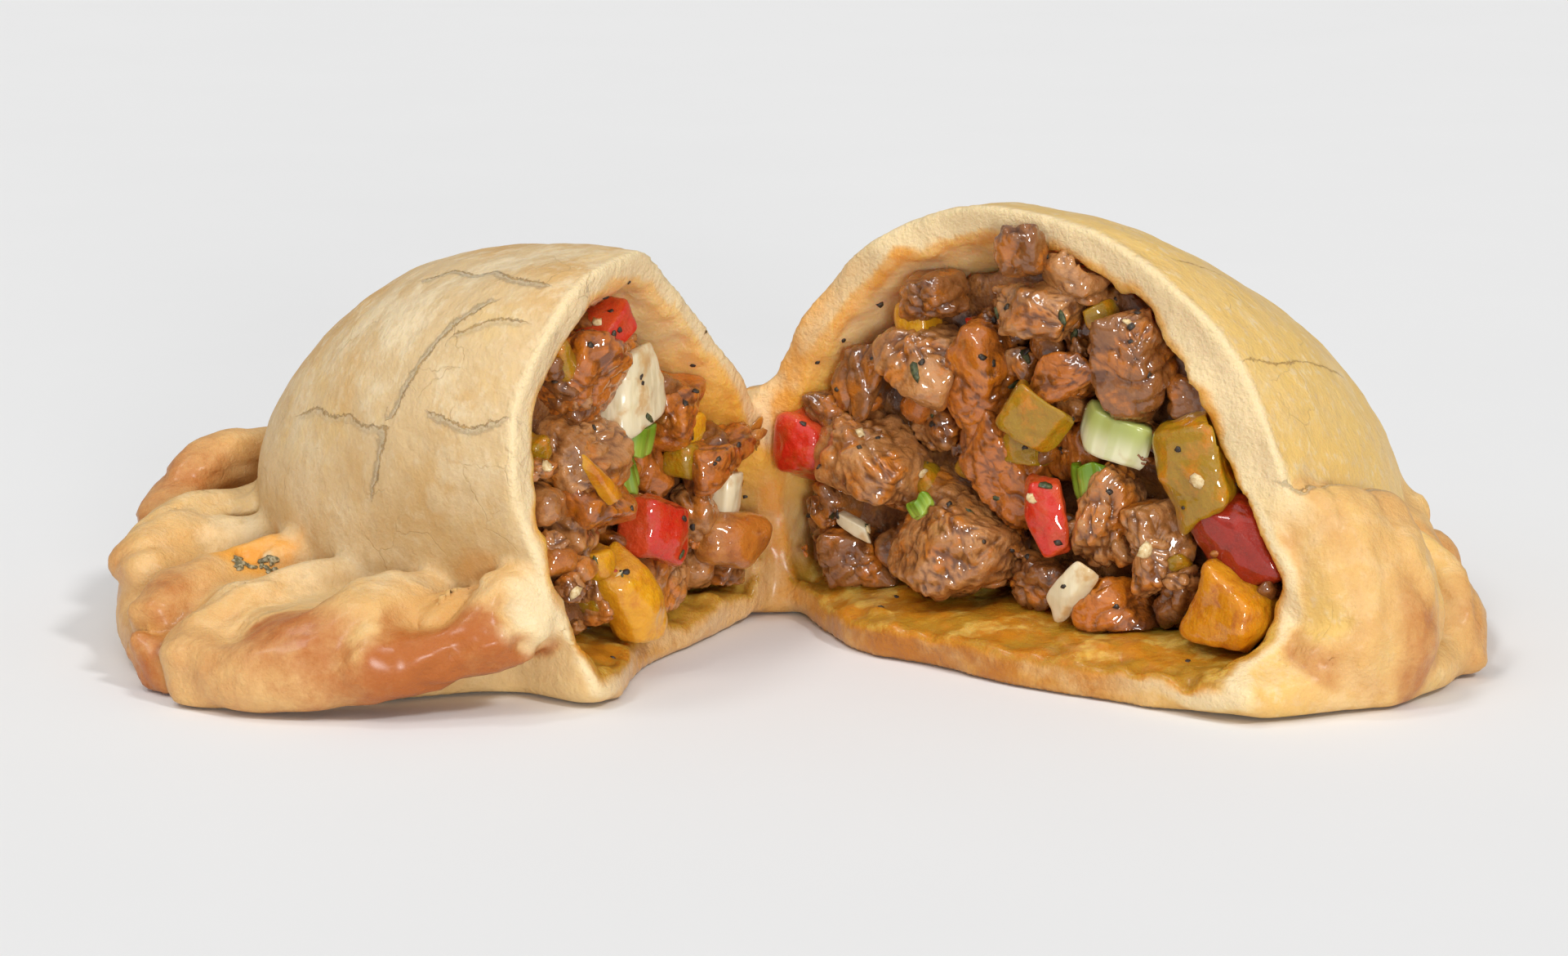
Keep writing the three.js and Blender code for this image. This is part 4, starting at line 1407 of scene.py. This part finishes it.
def core_field(half_key, half, step):
    """The bulk of the filling behind the pieces that show"""
    low, high, under = CORES[half_key]
    axes = [np.arange(a, b + step, step) for a, b in zip(low, high)]
    grid = np.stack(np.meshgrid(*axes, indexing="ij"), -1)
    spots = grid.reshape(-1, 3)
    cavity = sample(fields[half_key], fields["origin"], fields["step"], spots)
    f, g = to_half(half, spots[:, 0], spots[:, 1])
    top = half["dome"]["height"] - under
    lumps = rough(spots, 6.0, 21, 2)
    front = cut_line(half, g, np.maximum(spots[:, 2], 9.0)) + CORE_DEPTH + 1.5 * lumps - f
    body = np.maximum(cavity + 0.45, front)
    body = np.maximum(body, spots[:, 2] - top + 1.2 * lumps)
    return body.reshape(grid.shape[:-1]).astype(np.float32), np.array(low)


def speck_shapes(spots, normals, size, seed, slim):
    """Small flakes that lie at those spots"""
    u, faces = ball(2)
    rng = np.random.default_rng(seed)
    points, triangles = [], []
    for number, (spot, normal) in enumerate(zip(spots, normals)):
        helper = rng.normal(size=3)
        side = np.cross(normal, helper)
        side /= np.linalg.norm(side)
        other = np.cross(normal, side)
        scale = rng.uniform(0.7, 1.3) * size
        shape = u * np.array([slim, 1.0, 0.45]) * scale
        shape = shape * (1.0 + 0.2 * rng.normal(size=(len(u), 1)))
        p = shape[:, :1] * side + shape[:, 1:2] * other + shape[:, 2:] * normal
        points.append(p + spot + normal * 0.1 * size)
        triangles.append(faces + number * len(u))
    return np.vstack(points), np.vstack(triangles)


def surface_of(piece):
    """The points of a piece in millimetres, and their normals"""
    found = []
    for key in ("co", "normal"):
        values = np.zeros(len(piece.data.vertices) * 3)
        piece.data.vertices.foreach_get(key, values)
        found.append(values.reshape(-1, 3))
    return found[0] / MM, found[1]


def front_spots(pieces, count, seed):
    """Random spots on the outward side of the filling's pieces"""
    spots, normals = (np.vstack(rows) for rows in zip(*(surface_of(piece) for piece in pieces)))
    seen = (normals[:, 1] < -0.2) & (normals[:, 2] > -0.3)
    chosen = np.random.default_rng(seed).choice(np.nonzero(seen)[0], count, replace=False)
    return spots[chosen], normals[chosen]


def meat_finish(colours):
    look = Finish("stewed_beef", Subsurface_Weight=0.1, Subsurface_Scale=0.0015,
                  Subsurface_Radius=(1.0, 0.35, 0.2), Coat_Weight=0.9, Coat_Roughness=0.03,
                  Coat_IOR=1.7, Specular_IOR_Level=0.15)
    tone = look.mask("tone")
    base = np.array(colours.meat)
    look.layer(base)
    look.layer(base * (0.58, 0.50, 0.42), look.span(tone, 0.35, 0.1))
    # Paler grey-pink patches: partly the beef's own paler fibres, partly painted highlights
    look.layer(base * (1.5, 1.8, 2.5), look.patches(3.0, 0.44, 0.62, 5.0, 0.65),
               look.span(tone, 0.1, 0.8, 0.12, 0.62))
    from_glazed = look.maths("ABSOLUTE", look.maths("SUBTRACT", tone, MEAT_TONES["glazed"]))
    look.layer((0.52, 0.135, 0.008), look.span(from_glazed, 0.12, 0.25, 1.0, 0.0), 0.8)
    look.layer((0.24, 0.08, 0.022), look.patches(1.5, 0.5, 0.68, 4.0, 0.6), 0.55)
    film = look.noise(4.2, 5.0, 0.65, look.warped(3.0, 2.0))
    look.layer((0.58, 0.17, 0.008), look.span(film, 0.5, 0.62),
               look.span(tone, 0.0, 0.4, 0.6, 0.9), look.span(tone, 0.6, 0.85, 1.0, 0.8))
    # Painted shade in the grooves and creases, with the sauce in them
    look.layer((0.11, 0.028, 0.005), look.span(look.mask("deep"), 0.15, 0.9), 0.8)
    # Painted shade: darker the further a point lies behind the cut
    look.layer((0.07, 0.018, 0.004), look.span(look.mask("recess"), 2.5, 7.0), 0.85)
    look.relief(0.26, look.noise(0.9, 4.0, 0.65))
    look.relief(0.14, look.cells(0.9))
    look.relief(0.05, look.noise(0.4, 2.0))
    return look.done(look.patches(1.6, 0.35, 0.65, least=0.25, most=0.5))


def pepper_finish(name, skin, flesh, spot):
    look = Finish(name, Subsurface_Weight=0.3, Subsurface_Scale=0.004,
                  Subsurface_Radius=(1.0, 0.4, 0.15), Coat_Weight=1.0, Coat_Roughness=0.04,
                  Roughness=0.35, Specular_IOR_Level=0.2)
    look.layer(flesh)
    look.layer(skin, look.span(look.mask("skin"), 0.2, 0.8, 0.35, 1.0))
    look.layer(spot, look.patches(2.6, 0.45, 0.68, 5.0, 0.65), 0.75)
    # Painted shade: darker the further a point lies behind the cut
    look.layer(0.3 * np.array(spot), look.span(look.mask("recess"), 2.5, 6.0), 0.75)
    look.relief(0.6, look.noise(2.4, 5.0, 0.65))
    return look.done()


def onion_finish(name):
    look = Finish(name, Subsurface_Weight=0.35, Subsurface_Scale=0.004,
                  Subsurface_Radius=(1.0, 0.9, 0.6), Coat_Weight=0.5, Coat_Roughness=0.12,
                  Roughness=0.3)
    look.layer((0.82, 0.70, 0.46))
    lines = look.noise(0.9, 2.0, 0.5, look.stretched((1.0, 1.0, 0.16)))
    look.layer((0.66, 0.56, 0.34), look.span(lines, 0.42, 0.65), 0.6)
    look.layer((0.60, 0.32, 0.09), look.patches(3.0, 0.5, 0.66, 4.0), 0.7)
    look.relief(0.12, lines)
    return look.done()


def leek_finish(name, dark, pale):
    look = Finish(name, Subsurface_Weight=0.25, Subsurface_Scale=0.003,
                  Subsurface_Radius=(0.8, 1.0, 0.3), Coat_Weight=0.5, Coat_Roughness=0.12,
                  Roughness=0.32)
    ribs = look.maths("SINE", look.product(look.mask("across"), 17.0))
    look.layer(pale)
    look.layer(dark, look.span(look.mask("fade"), 0.2, 0.85))
    look.layer(dark, look.span(ribs, 0.0, 0.9), 0.35)
    look.layer((0.50, 0.30, 0.06), look.patches(3.0, 0.6, 0.75), 0.5)
    look.relief(0.07, look.span(ribs, -1.0, 1.0))
    return look.done()


def sauce_finish():
    look = Finish("filling_sauce", Subsurface_Weight=0.08, Subsurface_Scale=0.003, Coat_Weight=0.6,
                  Coat_Roughness=0.1)
    look.layer((0.20, 0.075, 0.025))
    look.layer((0.38, 0.15, 0.035), look.patches(3.2, 0.45, 0.65, 4.0, 0.6))
    look.layer((0.07, 0.022, 0.008), look.patches(1.9, 0.52, 0.7, 4.0, 0.6), 0.8)
    look.relief(0.5, look.noise(1.6, 4.0, 0.6))
    look.relief(0.16, look.noise(0.7, 3.0))
    return look.done(look.patches(2.0, 0.35, 0.65, least=0.22, most=0.42))


def speck_finish(name, colour, other):
    look = Finish(name, Roughness=0.55, Coat_Weight=0.2)
    look.layer(colour)
    look.layer(other, look.patches(0.4, 0.4, 0.65, 2.0))
    look.relief(0.05, look.noise(0.25, 2.0))
    return look.done()


def filling_mesh(name, key, points, faces, finish, masks=None):
    """A mesh of one half's filling"""
    node = "filling_" + key
    mesh_object(f"{name}_{key}", points, faces, (node,), finish, masks)


def speck_mesh(name, spots, normals, size, slim, seed, colours, stands_for):
    """A mesh of specks, one at each spot"""
    points, faces = speck_shapes(spots, normals, size, seed, slim)
    mesh_object(name, points, faces, stands_for, speck_finish(name, *colours))


class EMPANADA_OT_filling_core(bpy.types.Operator):
    """The bulk of the filling in each half, behind the pieces that show"""

    bl_idname = "empanada.filling_core"
    bl_label = "Filling core"

    def execute(self, context):
        step = context.scene.empanada_sizes.core_step / MM
        finish = sauce_finish()
        for key, (half, _) in HALVES.items():
            field, origin = core_field(key, half, step)
            padded = np.pad(field, 1, constant_values=5.0)
            points, quads = net_surface(padded, origin - step, step)
            points = relax(points, quads, 1, 0.5)
            points, faces = thinned(points, quads, CORE_TRIANGLES)
            filling_mesh("filling_core", key, points, faces, finish)
        return {"FINISHED"}


class EMPANADA_OT_beef(bpy.types.Operator):
    """The diced beef at both cuts"""

    bl_idname = "empanada.beef"
    bl_label = "Diced beef"

    def execute(self, context):
        sizes = context.scene.empanada_sizes
        finish = meat_finish(context.scene.empanada_colours)
        for key in HALVES:
            points, faces, masks = placed_pieces(key, MEAT_TONES, sizes.fibre / MM, sizes.crumbs)
            filling_mesh("beef", key, points, faces, finish, masks)
        return {"FINISHED"}


# Each kind of vegetable: its mesh's name, its finish and that finish's colours
VEGETABLES = {
    "red": ("red_pepper", pepper_finish,
            (0.60, 0.022, 0.007), (0.64, 0.09, 0.02), (0.50, 0.06, 0.008)),
    "tomato": ("tomato_piece", pepper_finish,
               (0.34, 0.016, 0.004), (0.42, 0.05, 0.010), (0.20, 0.012, 0.003)),
    "yellow": ("yellow_pepper", pepper_finish,
               (0.76, 0.35, 0.008), (0.66, 0.27, 0.012), (0.58, 0.19, 0.006)),
    "amber": ("amber_pepper", pepper_finish,
              (0.66, 0.25, 0.005), (0.62, 0.27, 0.01), (0.40, 0.09, 0.003)),
    "olive": ("olive_pepper", pepper_finish,
              (0.35, 0.19, 0.005), (0.44, 0.24, 0.008), (0.62, 0.20, 0.004)),
    "orange": ("orange_bits", pepper_finish,
               (0.52, 0.17, 0.02), (0.50, 0.20, 0.04), (0.28, 0.08, 0.015)),
    "onion": ("onion_pieces", onion_finish),
    "leek": ("leek_piece", leek_finish, (0.42, 0.46, 0.12), (0.78, 0.76, 0.48)),
    "scallion": ("scallion_pieces", leek_finish, (0.14, 0.26, 0.010), (0.30, 0.42, 0.05)),
}


class EMPANADA_OT_vegetables(bpy.types.Operator):
    """The peppers, tomato, onion, leek, scallion and orange bits at both cuts"""

    bl_idname = "empanada.vegetables"
    bl_label = "Vegetables"

    def execute(self, context):
        finishes = {
            kind: (name, finish(name, *colours))
            for kind, (name, finish, *colours) in VEGETABLES.items()
        }
        crumbs = context.scene.empanada_sizes.crumbs
        for key, (_, pieces) in HALVES.items():
            present = {piece[0] for piece in pieces + crumb_pieces(key, crumbs)}
            for kind, (name, finish) in finishes.items():
                if kind in present:
                    points, faces, masks = placed_pieces(key, (kind,), 0.0, crumbs)
                    filling_mesh(name, key, points, faces, finish, masks)
        return {"FINISHED"}


# Meshes of the filling that seasoning sticks to, and its colours
CARRIERS = ("beef", "red_pepper", "yellow_pepper", "olive_pepper", "onion_pieces", "tomato_piece")
PEPPER_TONES = ((0.02, 0.013, 0.01), (0.06, 0.04, 0.02))
HERB_TONES = ((0.035, 0.045, 0.012), (0.09, 0.10, 0.03))
SEED_TONES = ((0.78, 0.62, 0.34), (0.62, 0.42, 0.18))
CRIMP_HERB_TONES = ((0.13, 0.11, 0.05), (0.42, 0.35, 0.20))
CRIMP_HERBS = 18
CRUST_PEPPER = 90


class EMPANADA_OT_seasoning(bpy.types.Operator):
    """Ground pepper, herb flakes and pale seeds scattered on the filling"""

    bl_idname = "empanada.seasoning"
    bl_label = "Seasoning"

    def execute(self, context):
        crust = bpy.data.objects["crust_shell"]
        place, facing = surface_of(crust)
        nearest = np.linalg.norm(place[:, None, :] - np.array(HERB_CLUMPS), axis=2).argmin(0)
        apart = np.linalg.norm(place[:, None, :] - place[nearest], axis=2).min(1)
        near = np.nonzero(apart < 0.95)[0]
        near = np.random.default_rng(34).choice(near, CRIMP_HERBS, replace=False)
        speck_mesh("crimp_herbs", place[near], facing[near], 0.34, 1.6, 35, CRIMP_HERB_TONES,
                   ("crust",))
        inner = np.zeros(len(place))
        crust.data.attributes["inside"].data.foreach_get("value", inner)
        inner = np.nonzero((inner > 0.6) & (facing[:, 1] < 0.2))[0]
        inner = np.random.default_rng(36).choice(inner, CRUST_PEPPER, replace=False)
        speck_mesh("crust_pepper", place[inner], facing[inner], 0.26, 1.4, 37, PEPPER_TONES,
                   ("crust",))
        carriers = [o for o in bpy.data.objects if o.name.rpartition("_")[0] in CARRIERS]
        count = context.scene.empanada_sizes.pepper_specks
        for name, number, size, slim, seed, colours in (
            ("ground_pepper", count, 0.28, 1.3, 31, PEPPER_TONES),
            ("herb_flakes", count // 4, 0.34, 2.4, 32, HERB_TONES),
            ("pale_seeds", count // 8, 0.55, 1.35, 33, SEED_TONES),
        ):
            spots, normals = front_spots(carriers, number, seed)
            speck_mesh(name, spots, normals, size, slim, seed, colours,
                       ("filling_left", "filling_right"))
        return {"FINISHED"}


# The stage

PHOTO_WIDTH = 1920.0
PIXELS_PER_MM = 12.3
CAMERA_DISTANCE = 480.0
CAMERA_ELEVATION = 12.0
SENSOR = 36.0
FLOOR_REACH = 1.6
FLOOR_DROP = 0.0002
SKY_STRENGTH = 0.33

# Lights: where each one shines to, how wide it looks in degrees and its power
LIGHTS = {
    "window_light": ((0.22, 0.52, -0.80), 70.0, 0.56),
    "left_softbox": ((0.48, 0.42, -0.80), 13.0, 0.55),
    "right_softbox": ((-0.50, 0.52, -0.69), 9.0, 0.95),
    "front_softbox": ((-0.20, 0.97, -0.12), 12.0, 1.25),
    "top_softbox": ((0.34, -0.06, -0.94), 10.0, 0.33),
}


def sky_light(name, heading, wide, power):
    """An even light from far away, as wide as a softbox seen from the table"""
    light = bpy.data.lights.new(name, "SUN")
    light.energy = power
    light.angle = math.radians(wide)
    lamp = bpy.data.objects.new(name, light)
    lamp.rotation_euler = Vector(heading).to_track_quat("-Z", "Y").to_euler()
    bpy.context.scene.collection.objects.link(lamp)


class EMPANADA_OT_stage(bpy.types.Operator):
    """The pale floor, the soft studio light and the camera"""

    bl_idname = "empanada.stage"
    bl_label = "Stage"

    def execute(self, context):
        scene = context.scene
        mesh = bpy.data.meshes.new("floor")
        signs = ((-1, -1), (1, -1), (1, 1), (-1, 1))
        corners = [(FLOOR_REACH * x, FLOOR_REACH * y, -FLOOR_DROP) for x, y in signs]
        mesh.from_pydata(corners, [], [(0, 1, 2, 3)])
        floor = bpy.data.objects.new("floor", mesh)
        scene.collection.objects.link(floor)
        look = Finish("floor_paper", Roughness=0.9)
        look.layer((0.85, 0.85, 0.85))
        look.layer((0.87, 0.87, 0.87), look.noise(40.0))
        mesh.materials.append(look.done())

        world = bpy.data.worlds.new("studio")
        scene.world = world
        world.use_nodes = True
        sky = world.node_tree.nodes["Background"].inputs
        sky["Color"].default_value = (1.0, 1.0, 1.0, 1.0)
        sky["Strength"].default_value = SKY_STRENGTH
        for name, (heading, wide, power) in LIGHTS.items():
            sky_light(name, heading, wide, power)

        camera = bpy.data.cameras.new("photo_camera")
        camera.sensor_width = SENSOR
        camera.lens = SENSOR * PIXELS_PER_MM * CAMERA_DISTANCE / PHOTO_WIDTH
        camera.clip_end = 20.0
        rig = bpy.data.objects.new("photo_camera", camera)
        scene.collection.objects.link(rig)
        target = Vector((HINGE["x"] + 1.6, HINGE["y"] - 26.0, 20.0)) * MM
        lean = math.radians(CAMERA_ELEVATION)
        looking = Vector((0.0, math.cos(lean), -math.sin(lean)))
        rig.location = target - looking * CAMERA_DISTANCE * MM
        rig.rotation_euler = looking.to_track_quat("-Z", "Y").to_euler()
        scene.camera = rig
        scene.view_settings.view_transform = "Standard"
        return {"FINISHED"}


class EMPANADA_PT_panel(bpy.types.Panel):
    """Everything that makes the empanada, in the order it is made"""

    bl_idname = "EMPANADA_PT_panel"
    bl_label = "Meat empanada"
    bl_space_type = "VIEW_3D"
    bl_region_type = "UI"
    bl_category = "Empanada"

    def draw(self, context):
        scene = context.scene
        for group in (scene.empanada_sizes, scene.empanada_colours):
            box = self.layout.box()
            for key in group.__annotations__:
                box.prop(group, key)
        for operator in OPERATORS:
            self.layout.operator(operator.bl_idname)


OPERATORS = (
    EMPANADA_OT_crust,
    EMPANADA_OT_filling_core,
    EMPANADA_OT_beef,
    EMPANADA_OT_vegetables,
    EMPANADA_OT_seasoning,
    EMPANADA_OT_stage,
)
CLASSES = (EmpanadaSizes, EmpanadaColours, *OPERATORS, EMPANADA_PT_panel)


def register():
    for item in CLASSES:
        bpy.utils.register_class(item)
    bpy.types.Scene.empanada_sizes = bpy.props.PointerProperty(type=EmpanadaSizes)
    bpy.types.Scene.empanada_colours = bpy.props.PointerProperty(type=EmpanadaColours)


def unregister():
    del bpy.types.Scene.empanada_colours
    del bpy.types.Scene.empanada_sizes
    for item in reversed(CLASSES):
        bpy.utils.unregister_class(item)


def main():
    register()
    bpy.ops.empanada.crust()
    bpy.ops.empanada.filling_core()
    bpy.ops.empanada.beef()
    bpy.ops.empanada.vegetables()
    bpy.ops.empanada.seasoning()
    bpy.ops.empanada.stage()


if __name__ == "__main__":
    main()
